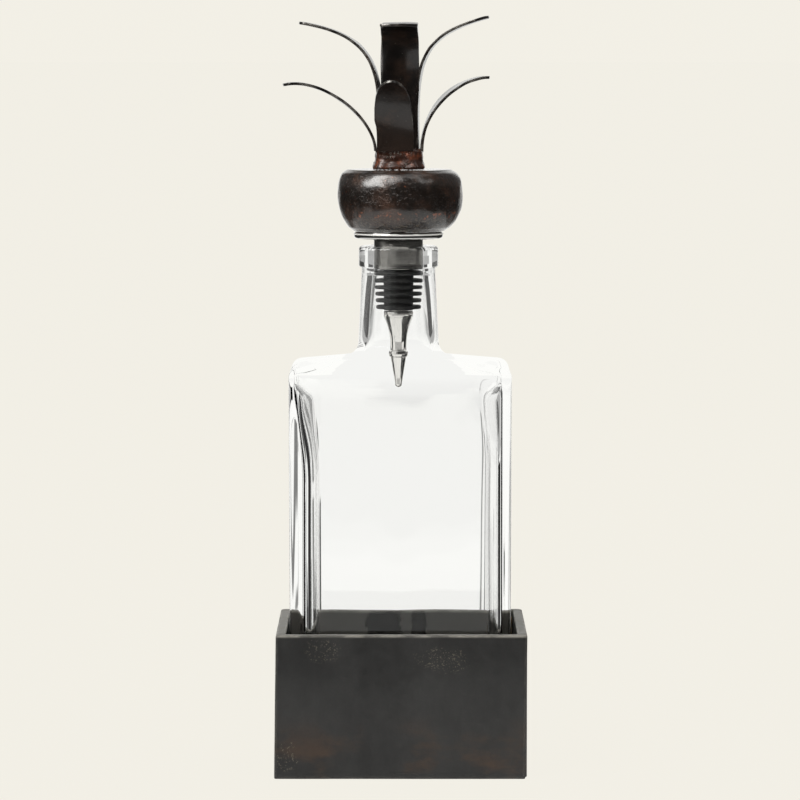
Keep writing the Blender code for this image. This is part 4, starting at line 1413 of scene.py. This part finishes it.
@dataclass
class RubberSleeve:
    """Rubber seal with six rounded rings on a thin tube."""

    rings: int = 6
    ring_height: float = 1.7 * MM
    ring_depth: float = 4.6 * MM
    shoulder: float = 0.7 * MM
    taper: float = 0.017
    bore: float = 4.5 * MM
    tube_wall: float = 2.0 * MM
    tube_taper: float = 0.3 * MM
    root_share: float = 0.72
    rubber: BlackRubber = field(default_factory=BlackRubber)

    def ring_section(self) -> Profile:
        """Draws the section of one ring, from its root to its blunt rounded rim and back.

        Returns:
            Its points, as distance from the root and height.
        """
        half = self.ring_height / 2
        rim = arc_points((self.ring_depth - self.shoulder, half - self.shoulder), self.shoulder, 90, 0, 6)
        upper = [(0.0, half * self.root_share)] + rim
        return upper + [(reach, -height) for reach, height in reversed(upper)]

    def ring_tree(self) -> RuleTree:
        """Builds the tree that turns the ring's section and stacks the rings on their tube.

        Returns:
            The tree.
        """
        sockets = {"Root Radius": "Float", "Rings": "Int", "Top": "Vector", "Pitch": "Vector"}
        rule = RuleTree("ringed_sleeve", {**sockets, "Taper": "Float", "Tube": "Object"})
        graph = rule.graph
        inputs = {"Resolution": 96, "Radius": rule.inputs["Root Radius"]}
        circle = graph.add("GeometryNodeCurvePrimitiveCircle", inputs)
        section = graph.add("GeometryNodeMeshToCurve", {0: rule.inputs["Geometry"]})
        inputs = {"Curve": circle.outputs[0], "Profile Curve": section.outputs[0]}
        ring = graph.add("GeometryNodeCurveToMesh", inputs)
        inputs = {"Count": rule.inputs["Rings"], "Start Location": rule.inputs["Top"]}
        stack = graph.add("GeometryNodeMeshLine", {**inputs, "Offset": rule.inputs["Pitch"]}, mode="OFFSET")
        place = graph.add("GeometryNodeInputIndex").outputs[0]
        width = graph.maths("SUBTRACT", 1.0, graph.times(place, rule.inputs["Taper"]))
        scale = graph.add("ShaderNodeCombineXYZ", {0: width, 1: width, 2: 1.0}).outputs[0]
        inputs = {"Points": stack.outputs[0], "Instance": ring.outputs[0], "Scale": scale}
        rings = graph.add("GeometryNodeInstanceOnPoints", inputs)
        tube = graph.add("GeometryNodeObjectInfo", {"Object": rule.inputs["Tube"]})
        rule.end(tube.outputs["Geometry"], rings.outputs[0])
        return rule

    def build(self) -> None:
        """Builds and dresses the sleeve."""
        low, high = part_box("rubber_sleeve")
        outer = (high.x - low.x) / 2
        pitch = (high.z - low.z) / self.rings
        tube = [(self.bore, high.z), (self.bore + self.tube_wall, high.z)]
        tube += [(self.bore + self.tube_wall - self.tube_taper, low.z), (self.bore, low.z)]
        core = new_object("sleeve_tube", turned_mesh("sleeve_tube", tube, steps=64, closed=True))
        section = self.ring_section()
        edges = [(i, (i + 1) % len(section)) for i in range(len(section))]
        mesh = bpy.data.meshes.new("sleeve_ring")
        mesh.from_pydata([(reach, height, 0.0) for reach, height in section], edges, [])
        piece = self.ring_tree().run(
            new_object("ringed_rubber_sleeve", mesh),
            {
                "Root Radius": outer - self.ring_depth,
                "Rings": self.rings,
                "Top": (CENTRE_X, 0.0, high.z - pitch / 2),
                "Pitch": (0.0, 0.0, -pitch),
                "Taper": self.taper,
                "Tube": core,
                "Material": self.rubber.material(),
            },
        )
        bpy.data.objects.remove(core)
        tidy_mesh(piece.data, 40.0)
        seat_piece(piece, Body.SEAL, ["rubber_sleeve"])


@dataclass
class ForgedBall:
    """Flattened ball, forged by hand, with shallow hammer dents."""

    radius: float = 26.7 * MM
    seat_radius: float = 20.3 * MM
    top_radius: float = 23.0 * MM
    waist_share: float = 0.59
    upper_fullness: float = 3.5
    lower_fullness: float = 2.4
    upper_spacing: float = 0.8
    lower_spacing: float = 0.9
    edge: float = 1.6 * MM
    edge_share: float = 0.45
    stud_hole: float = 3.5 * MM
    stud_depth: float = 14.3 * MM
    dent_size: float = 9.0 * MM
    dent_depth: float = 0.35 * MM
    dent_start: float = 7.0 * MM
    dent_fade: float = 8.0 * MM
    dent_edge: float = 4.0 * MM
    bulge: float = 0.7 * MM
    lacquer: LacqueredForging = field(default_factory=LacqueredForging)

    def __post_init__(self) -> None:
        """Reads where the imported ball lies."""
        self.low, self.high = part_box("forged_ball")

    def profile(self) -> Profile:
        """Draws the outline from the middle of the top down to the stud's hole.

        Returns:
            Its points, as radius and height.
        """
        low, high = self.low, self.high
        waist = mix(low.z, high.z, self.waist_share)
        sides: Profile = []
        for step in range(37):
            share = cos(step / 36 * pi / 2) ** self.upper_spacing
            radius = mix(self.radius, self.top_radius, share**self.upper_fullness)
            sides.append((radius, mix(waist, high.z, share)))
        for step in range(1, 37):
            share = sin(step / 36 * pi / 2) ** self.lower_spacing
            radius = mix(self.radius, self.seat_radius, share**self.lower_fullness)
            sides.append((radius, mix(waist, low.z, share)))
        eased = []
        for radius, height in sides:
            near = min(high.z - height, height - low.z)
            eased.append((radius - self.edge_share * self.edge * (1 - ease(near / self.edge)), height))
        top = [(self.top_radius * share, high.z) for share in (0.0, 0.25, 0.45, 0.65, 0.82)]
        seat = [(mix(self.seat_radius, self.stud_hole, share), low.z) for share in (0.12, 0.4, 0.7, 1.0)]
        hole = low.z + self.stud_depth
        return top + eased + seat + [(self.stud_hole, hole), (0.0, hole)]

    def forged(self, point: Vector) -> Vector:
        """Moves a point of the turned shape as the hammer would.

        Args:
            point: Point of the turned shape.

        Returns:
            The moved point.
        """
        away = Vector((point.x - CENTRE_X, point.y, 0.0))
        full = ease((away.length - self.dent_start) / self.dent_fade)
        side = ease(min(self.high.z - point.z, point.z - self.low.z) / self.dent_edge)
        dents = ripple(point, self.dent_size, 4.0) + 0.5 * ripple(point, self.dent_size * 0.45, 8.0)
        depth = self.dent_depth * dents
        moved = point + away.normalized() * depth * full * side if away.length > MM else point.copy()
        moved.x += self.bulge * full * mix(0.4, 1.0, side)
        return moved

    def build(self) -> None:
        """Builds and dresses the ball."""
        outline = self.profile()
        mesh = turned_mesh("hammered_steel_ball", outline, steps=168, reshape=self.forged, sharp_angle=60.0)
        seat_mesh(mesh, self.lacquer.material(), Body.STOPPER, "forged_ball")


@dataclass
class WeldCollar:
    """Squarish lump of weld with drops of spatter, between the ball and the leaves."""

    foot_half: float = 11.2 * MM
    middle_half: float = 9.9 * MM
    top_half: float = 9.8 * MM
    overlap: float = 1.2 * MM
    corner: float = 4.6 * MM
    lump_size: float = 3.6 * MM
    lump_depth: float = 0.55 * MM
    rim: float = 0.5 * MM
    rim_share: float = 0.1
    bulge: float = 0.3 * MM
    drops: float = 55000.0
    drop_size: float = 0.55 * MM
    drop_form: Colour = (1.0, 1.0, 0.6)
    smallest_drop: float = 0.35
    seed: int = 7
    rust: RustyWeld = field(default_factory=RustyWeld)

    def spatter_tree(self) -> RuleTree:
        """Builds the tree that scatters flattened drops of weld over the lump.

        Returns:
            The tree.
        """
        rule = RuleTree("weld_spatter", {"Density": "Float", "Drop Radius": "Float", "Seed": "Int"})
        graph = rule.graph
        lump = rule.inputs["Geometry"]
        inputs = {"Mesh": lump, "Density": rule.inputs["Density"], "Seed": rule.inputs["Seed"]}
        spots = graph.add("GeometryNodeDistributePointsOnFaces", inputs, distribute_method="RANDOM")
        inputs = {"Radius": rule.inputs["Drop Radius"], "Subdivisions": 2}
        drop = graph.add("GeometryNodeMeshIcoSphere", inputs)
        inputs = {2: self.smallest_drop, 3: 1.0, "Seed": rule.inputs["Seed"]}
        size = graph.add("FunctionNodeRandomValue", inputs, data_type="FLOAT")
        inputs = {
            "Points": spots.outputs["Points"],
            "Instance": drop.outputs["Mesh"],
            "Rotation": spots.outputs["Rotation"],
            "Scale": graph.scaled(self.drop_form, size.outputs[1]),
        }
        drops = graph.add("GeometryNodeInstanceOnPoints", inputs)
        rule.end(drops.outputs[0], lump)
        return rule

    def rings(self) -> list[list[Vector]]:
        """Draws the lumpy rings, from the foot on the ball to the seat of the leaves.

        Returns:
            The rings' points.
        """
        low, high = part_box("leaf_weld_collar")
        shape = GlassBottle(straight=5, arc=9)
        found = []
        for step in range(29):
            share = step / 28
            lower = mix(self.foot_half, self.middle_half, ease(share / 0.5))
            half = mix(lower, self.top_half, ease((share - 0.5) / 0.5))
            closing = ease(min(share, 1 - share) / self.rim_share)
            height = mix(low.z, high.z + self.overlap, share)
            ring = []
            for point in shape.square(half, half, self.corner):
                spot = point + Vector((CENTRE_X + self.bulge * share, 0.0, height))
                lump = ripple(spot, self.lump_size, 1.0) + 0.5 * ripple(spot, self.lump_size * 0.5, 6.0)
                away = Vector((point.x, point.y, 0.0)).normalized()
                ring.append(spot + away * (self.lump_depth * lump * closing - self.rim * (1 - closing)))
            found.append(ring)
        return found

    def build(self) -> None:
        """Builds and dresses the lump with its spatter."""
        mesh = tidy_mesh(loft_mesh("leaf_weld_lump", self.rings()), 60.0)
        values = {"Density": self.drops, "Drop Radius": self.drop_size, "Seed": self.seed}
        piece = new_object("leaf_weld_lump", mesh)
        piece = self.spatter_tree().run(piece, {**values, "Material": self.rust.material()})
        piece.data.shade_smooth()
        seat_piece(piece, Body.STOPPER, ["leaf_weld_collar"])


@dataclass(frozen=True)
class LeafCut:
    """One leaf's bend and outline, with lengths in millimetres and angles in degrees.

    azimuth is the way its root faces from +X, turn its swing round the axis on the way to the tip, and
    offset, reach and rise place its root and its tip. root_pull and tip_pull are the lengths of the curve's
    handles, tip_slope the rise of its last stretch and tip_length the length over which its outline closes.
    """

    node: str
    offset: float
    root_share: float
    azimuth: float
    turn: float
    reach: float
    rise: float
    root_pull: float
    tip_pull: float
    tip_slope: float
    tip_length: float
    slide: float = 0.0
    width: float = 15.6


@dataclass
class LeafCluster:
    """Eight bent leaves in two tiers, cut and hammered by hand."""

    thickness: float = 1.2 * MM
    root_length: float = 30.0 * MM
    turn_start: float = 0.15
    turn_span: float = 0.35
    steps: int = 56
    half_lines: tuple[float, ...] = (0.1, 0.3, 0.52, 0.72, 0.88, 0.955, 1.0)
    free_start: float = 0.25
    free_span: float = 0.3
    flutter: float = 0.22 * MM
    flutter_size: float = 9.0 * MM
    dent: float = 0.16 * MM
    dent_size: float = 7.0 * MM
    edge_bevel: float = 0.22 * MM
    edge_strip: float = 0.45 * MM
    seat_gap: float = 0.3 * MM
    sheet: ForgedLeafSteel = field(default_factory=ForgedLeafSteel)
    leaves: tuple[LeafCut, ...] = (
        LeafCut("upper_leaf_left", 8.1, 0.84, 177, -0.6, 42.4, 54.3, 28.0, 39.0, 8, 2.0),
        LeafCut("upper_leaf_right", 8.1, 0.84, -3, -1.0, 38.6, 56.8, 35.0, 34.0, 14, 3.0),
        LeafCut("upper_leaf_front", 8.1, 0.84, 267, 0.8, 37.0, 53.3, 26.0, 33.0, 5, 1.5, 1.4),
        LeafCut("upper_leaf_back", 8.1, 0.84, 87, 1.8, 39.0, 54.2, 24.0, 33.0, 5, 2.0),
        LeafCut("lower_leaf_left", 9.9, 0.97, 181, 2.5, 49.3, 28.0, 13.9, 16.8, -14, 3.0),
        LeafCut("lower_leaf_right", 9.9, 0.97, 1, 5.0, 38.9, 31.1, 20.0, 11.9, -2, 2.0),
        LeafCut("lower_leaf_front", 9.9, 0.97, 271, -4.5, 27.0, 29.8, 14.0, 12.0, 28, 22.0, -1.5, 16.2),
        LeafCut("lower_leaf_back", 9.9, 0.97, 91, 2.0, 40.0, 27.2, 16.0, 15.0, -6, 8.0),
    )

    @staticmethod
    def path(leaf: LeafCut, share: float) -> Vector:
        """Follows a leaf's bend.

        Args:
            leaf: The leaf.
            share: Share of the bend, 0 at the root and 1 at the tip.

        Returns:
            The distance from the axis and the height above the root.
        """
        root, tip = Vector((leaf.offset, 0.0)), Vector((leaf.reach, leaf.rise))
        slope = radians(leaf.tip_slope)
        first = root + Vector((0.0, leaf.root_pull))
        second = tip - Vector((cos(slope), sin(slope))) * leaf.tip_pull
        rest = 1 - share
        along = root * rest**3 + first * 3 * rest**2 * share
        return (along + second * 3 * rest * share**2 + tip * share**3) * MM

    def length(self, leaf: LeafCut) -> float:
        """Returns the leaf's length along its bend."""
        points = [self.path(leaf, step / 40) for step in range(41)]
        return sum((after - before).length for before, after in zip(points, points[1:]))

    def place(self, leaf: LeafCut, across: float, along: float, length: float, root: float) -> Vector:
        """Returns a point of the leaf's middle surface.

        Args:
            leaf: The leaf.
            across: Place across the leaf, from -1 to 1.
            along: Place along the leaf, from 0 to 1.
            length: Length of the leaf along its bend.
            root: Height of its root.

        Returns:
            The point.
        """
        seed = leaf.azimuth * 0.37 + leaf.rise
        closing = leaf.tip_length * MM / length
        share = along * (1 - closing * (1 - max(0.0, 1 - across**2) ** 0.5))
        reach, height = self.path(leaf, share)
        ahead = self.path(leaf, share + 0.01) - self.path(leaf, share - 0.01)
        swing = radians(leaf.azimuth + leaf.turn * ease((share - self.turn_start) / self.turn_span))
        width = leaf.width * MM * mix(leaf.root_share, 1.0, ease(share * length / self.root_length))
        free = ease((share - self.free_start) / self.free_span)
        spot = Vector((across * 2, share * length / self.dent_size, seed))
        flutter = noise.noise(Vector((share * length / self.flutter_size, seed, across)))
        edge = self.flutter * free * across * flutter
        side = across * width / 2 + leaf.slide * MM + edge
        dent = self.dent * free * noise.noise(spot)
        rise, run = ahead.normalized()
        reach, height = reach - run * dent, height + rise * dent
        x, y = reach * cos(swing) - side * sin(swing), reach * sin(swing) + side * cos(swing)
        return Vector((CENTRE_X + x, y, root + height))

    def leaf_mesh(self, leaf: LeafCut) -> bpy.types.Mesh:
        """Builds one leaf's middle surface, with its edges marked for wear.

        Args:
            leaf: The leaf.

        Returns:
            The new mesh, not yet tidied.
        """
        length = self.length(leaf)
        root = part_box("leaf_weld_collar")[1].z + self.seat_gap
        stops = [step / self.steps for step in range(self.steps)] + [1 - self.edge_strip / length, 1.0]
        lines = [-line for line in reversed(self.half_lines)] + list(self.half_lines)
        points, wear = [], []
        for along in stops:
            for across in lines:
                points.append(tuple(self.place(leaf, across, along, length, root)))
                wear.append(1.0 if abs(across) == 1.0 or along == 1.0 else 0.0)
        count = len(lines)
        faces = []
        for row in range(len(stops) - 1):
            for i in range(count - 1):
                first, second = row * count + i, (row + 1) * count + i
                faces.append((first, first + 1, second + 1, second))
        mesh = bpy.data.meshes.new(leaf.node + "_blade")
        mesh.from_pydata(points, [], faces)
        paint_points(mesh, "wear", wear)
        return mesh

    def build(self) -> None:
        """Builds and dresses the leaves."""
        steel = self.sheet.material()
        for leaf in self.leaves:
            mesh = tidy_mesh(self.leaf_mesh(leaf), 60.0)
            mesh.materials.append(steel)
            piece = new_object(leaf.node + "_blade", mesh)
            sheet = piece.modifiers.new("sheet", "SOLIDIFY")
            sheet.thickness, sheet.offset, sheet.use_even_offset = self.thickness, 0.0, True
            easing = piece.modifiers.new("eased_edges", "BEVEL")
            easing.width, easing.segments, easing.limit_method = self.edge_bevel, 2, "ANGLE"
            easing.angle_limit = radians(50)
            seat_piece(piece, Body.STOPPER, [leaf.node])


@dataclass(frozen=True)
class Panel:
    """A soft-edged bright or dark part of the surround, seen only in gloss or through the glass.

    towards is its bearing in degrees, 0 behind the object as the camera sees it and 90 to the right. low and
    high are its lowest and highest elevation in the sky, near and far its distances in metres on the floor.
    """

    towards: float
    half_width: float
    level: float
    softness: float = 4.0
    low: float = -90.0
    high: float = 90.0
    near: float = 0.0
    far: float = 1000.0


@dataclass
class Studio:
    """Pale floor and surround, soft lamps and the camera."""

    cream: Colour = (0.892, 0.867, 0.791)
    clear: Colour = (0.985, 0.985, 0.96)
    daylight: Colour = (0.5, 0.5, 0.4925)
    panel_hue: Colour = (1.0, 1.0, 0.98)
    floor_half: float = 60.0
    floor_drop: float = 0.1 * MM
    floor_paint: Colour = (0.80, 0.785, 0.74)
    floor_glow: float = 0.985
    camera_place: Colour = (-0.65 * MM, -1892 * MM, 310.7 * MM)
    camera_tilt: float = 4.65
    lens: float = 199.4
    blur: float = 0.03
    aim: Colour = (0.0, 0.0, 0.16)
    sky_in_glass: tuple[Panel, ...] = (
        Panel(180.0, 70.0, 0.26, 24.0, -4.0, 55.0),
        Panel(140.0, 50.0, 0.05, 10.0, -10.0, 60.0),
        Panel(-128.0, 20.0, 0.80, 10.0, -10.0, 60.0),
        Panel(-42.0, 18.0, 0.10, 5.0, -90.0, 16.0),
        Panel(50.0, 13.0, 0.06, 4.0, -90.0, 16.0),
        Panel(-76.0, 12.0, 0.12, 6.0),
        Panel(78.0, 12.0, 0.10, 6.0),
    )
    sky_in_gloss: tuple[Panel, ...] = (
        Panel(180.0, 158.0, 0.05, 16.0),
        Panel(180.0, 180.0, 0.80, 8.0, 60.0, 90.0),
        Panel(180.0, 158.0, 0.12, 12.0, 6.0, 46.0),
        Panel(-100.0, 14.0, 0.40, 10.0, -10.0, 30.0),
        Panel(-130.0, 22.0, 9.0, 4.0, 14.0, 62.0),
        Panel(-166.0, 13.0, 2.4, 10.0, 34.0, 64.0),
        Panel(128.0, 9.0, 1.6, 6.0, 30.0, 66.0),
    )
    floor_in_glass: tuple[Panel, ...] = (
        Panel(0.0, 40.0, 0.91, 20.0, near=2.05, far=2.9),
        Panel(180.0, 50.0, 0.50, 12.0, near=0.9),
        Panel(-24.0, 5.5, 0.04, 2.0, near=0.45, far=1.2),
        Panel(-86.0, 11.0, 0.03, 6.0, near=0.52, far=2.12),
        Panel(76.0, 24.0, 0.02, 5.0, near=0.52, far=2.12),
        Panel(33.0, 1.6, 0.45, 1.5, near=0.4, far=2.12),
        Panel(21.0, 2.0, 0.42, 1.5, near=0.4, far=2.12),
        Panel(11.5, 1.0, 0.22, 0.8, near=0.4, far=2.12),
        Panel(7.2, 0.8, 0.28, 0.8, near=0.4, far=2.12),
        Panel(46.0, 2.0, 0.5, 2.0, near=0.4, far=2.12),
        Panel(-45.0, 3.0, 0.3, 2.0, near=0.4, far=2.12),
        Panel(-56.0, 36.0, 0.13, 4.0, near=2.17, far=2.62),
        Panel(48.0, 13.0, 0.06, 4.0, near=2.17, far=2.62),
        Panel(-60.0, 40.0, 0.40, 10.0, near=2.62),
        Panel(60.0, 24.0, 0.55, 10.0, near=2.62),
        Panel(138.0, 54.0, 0.035, 8.0, near=2.17),
        Panel(-128.0, 20.0, 0.80, 10.0, near=2.17),
        Panel(-73.0, 22.0, 0.045, 4.0, near=0.12, far=0.5),
        Panel(-62.0, 12.0, 0.05, 3.0, near=0.5, far=0.8),
        Panel(92.0, 44.0, 0.035, 5.0, near=0.12, far=0.5),
        Panel(112.0, 25.0, 0.045, 5.0, near=0.5, far=1.0),
        Panel(180.0, 158.0, 0.42, 10.0, near=3.95),
    )
    floor_in_gloss: tuple[Panel, ...] = (
        Panel(180.0, 158.0, 0.03, 16.0, near=0.45),
        Panel(180.0, 180.0, 0.75, far=0.45),
    )

    def window(self, graph: Graph, facing: Any, away: Any, panel: Panel) -> Socket:
        """Returns how much of a panel lies in a direction.

        Args:
            graph: Graph of the sky or of the floor.
            facing: Direction in which the sky is seen, or place on the floor.
            away: Distance on the floor, or None for the sky.
            panel: The panel.

        Returns:
            A socket from 0 to 1.
        """
        angle, half = radians(panel.towards), panel.softness / 2
        share: Any = 1.0
        if panel.half_width < 180:
            level = graph.vector("NORMALIZE", graph.vector("MULTIPLY", facing, (1.0, 1.0, 0.0)))
            near = graph.vector("DOT_PRODUCT", level, (sin(angle), cos(angle), 0.0))
            outer, inner = min(panel.half_width + half, 180.0), max(panel.half_width - half, 0.0)
            share = graph.remap(near, cos(radians(outer)), cos(radians(inner)))
        if away is not None:
            starting = graph.remap(away, panel.near * (1 - self.blur), panel.near * (1 + self.blur) + MM)
            ending = graph.remap(away, panel.far * (1 + self.blur), panel.far * (1 - self.blur))
            return graph.times(share, starting, ending)
        height = graph.part(facing, Axis.Z)
        if panel.low > -90:
            rising = graph.remap(height, sin(radians(panel.low - half)), sin(radians(panel.low + half)))
            share = graph.times(share, rising)
        if panel.high < 90:
            falling = graph.remap(height, sin(radians(panel.high + half)), sin(radians(panel.high - half)))
            share = graph.times(share, falling)
        return share

    def surround(self, graph: Graph, facing: Any, away: Any, panels: Sequence[Panel]) -> Socket:
        """Returns the surround's colour with its panels.

        Args:
            graph: Graph of the sky or of the floor.
            facing: Direction in which the sky is seen, or place on the floor.
            away: Distance on the floor, or None for the sky.
            panels: The panels, each laid over those before it.

        Returns:
            The colour's socket.
        """
        colour: Any = self.clear
        for panel in panels:
            shade = tuple(panel.level * share for share in self.panel_hue)
            colour = graph.tint(self.window(graph, facing, away, panel), colour, shade)
        return colour

    def world(self) -> None:
        """Builds the surround: cream to the camera, and soft panels in gloss and glass."""
        world = bpy.data.worlds.new("soft_studio")
        world.use_nodes = True
        bpy.context.scene.world = world
        graph = Graph(world.node_tree)
        facing = graph.add("ShaderNodeTexCoord").outputs["Generated"]
        path = graph.add("ShaderNodeLightPath").outputs
        gloss = self.surround(graph, facing, None, self.sky_in_gloss)
        glass = self.surround(graph, facing, None, self.sky_in_glass)
        colour = graph.tint(path["Is Glossy Ray"], self.daylight, gloss)
        colour = graph.tint(path["Is Transmission Ray"], colour, glass)
        colour = graph.tint(path["Is Camera Ray"], colour, self.cream)
        graph.feed(world.node_tree.nodes["Background"], {"Color": colour, "Strength": 1.0})

    def floor(self) -> None:
        """Adds the pale floor, which shows the surround's colour and a faint shadow."""
        mesh = bpy.data.meshes.new("pale_floor")
        signs = ((-1, -1), (1, -1), (1, 1), (-1, 1))
        corners = [(x * self.floor_half, y * self.floor_half, -self.floor_drop) for x, y in signs]
        mesh.from_pydata(corners, [], [(0, 1, 2, 3)])
        floor = new_object("pale_floor", mesh)
        material = bpy.data.materials.new("pale_floor")
        material.use_nodes = True
        graph = Graph(material.node_tree)
        shader = graph.shade({"Base Color": self.floor_paint, "Roughness": 0.8})
        path = graph.add("ShaderNodeLightPath").outputs
        place = graph.add("ShaderNodeTexCoord").outputs["Object"]
        away = graph.vector("LENGTH", place)
        gloss = self.surround(graph, place, away, self.floor_in_gloss)
        glass = self.surround(graph, place, away, self.floor_in_glass)
        seen = graph.tint(path["Is Transmission Ray"], gloss, glass)
        seen = graph.tint(path["Is Camera Ray"], seen, self.cream)
        glow = graph.add("ShaderNodeEmission", {"Color": seen, "Strength": 1.0})
        share = graph.times(path["Is Camera Ray"], self.floor_glow)
        for ray in ("Is Transmission Ray", "Is Glossy Ray"):
            share = graph.maths("MAXIMUM", share, path[ray])
        graph.show(share, shader, glow)
        mesh.materials.append(material)

    def lamp(self, name: str, place: Colour, size: float, power: float) -> None:
        """Adds a square soft lamp that points at the object.

        Args:
            name: Name of the lamp.
            place: Position in metres.
            size: Side length in metres.
            power: Power in watts.
        """
        light = bpy.data.lights.new(name, "AREA")
        light.energy, light.size = power, size
        lamp = new_object(name, light)
        lamp.location = place
        lamp.visible_glossy = lamp.visible_transmission = False
        lamp.rotation_euler = (Vector(self.aim) - Vector(place)).to_track_quat("-Z", "Y").to_euler()

    def camera(self) -> None:
        """Adds the camera at the photograph's place."""
        view = bpy.data.cameras.new("front_camera")
        view.lens, view.sensor_width, view.clip_end = self.lens, 36.0, 300.0
        camera = new_object("front_camera", view)
        camera.location = self.camera_place
        camera.rotation_euler = (radians(90 - self.camera_tilt), 0.0, 0.0)
        bpy.context.scene.camera = camera

    def build(self) -> None:
        """Builds the whole studio."""
        self.world()
        self.floor()
        self.lamp("key_lamp", (-0.95, -1.15, 1.25), 0.6, 15.0)
        self.lamp("fill_lamp", (1.3, -0.9, 0.8), 0.9, 5.0)
        self.lamp("rear_lamp", (0.5, 1.3, 1.2), 0.9, 6.0)
        self.camera()
        bpy.context.scene.view_settings.view_transform = "Standard"


def main() -> None:
    """Builds the decanter and its studio."""
    logging.basicConfig(level=logging.INFO)
    stopper = (StopperCore(), RubberSleeve(), ForgedBall(), WeldCollar(), LeafCluster())
    for part in (SteelBox(), GlassBottle(), *stopper):
        LOG.info("building %s", type(part).__name__)
        part.build()
    Studio().build()


if __name__ == "__main__":
    main()
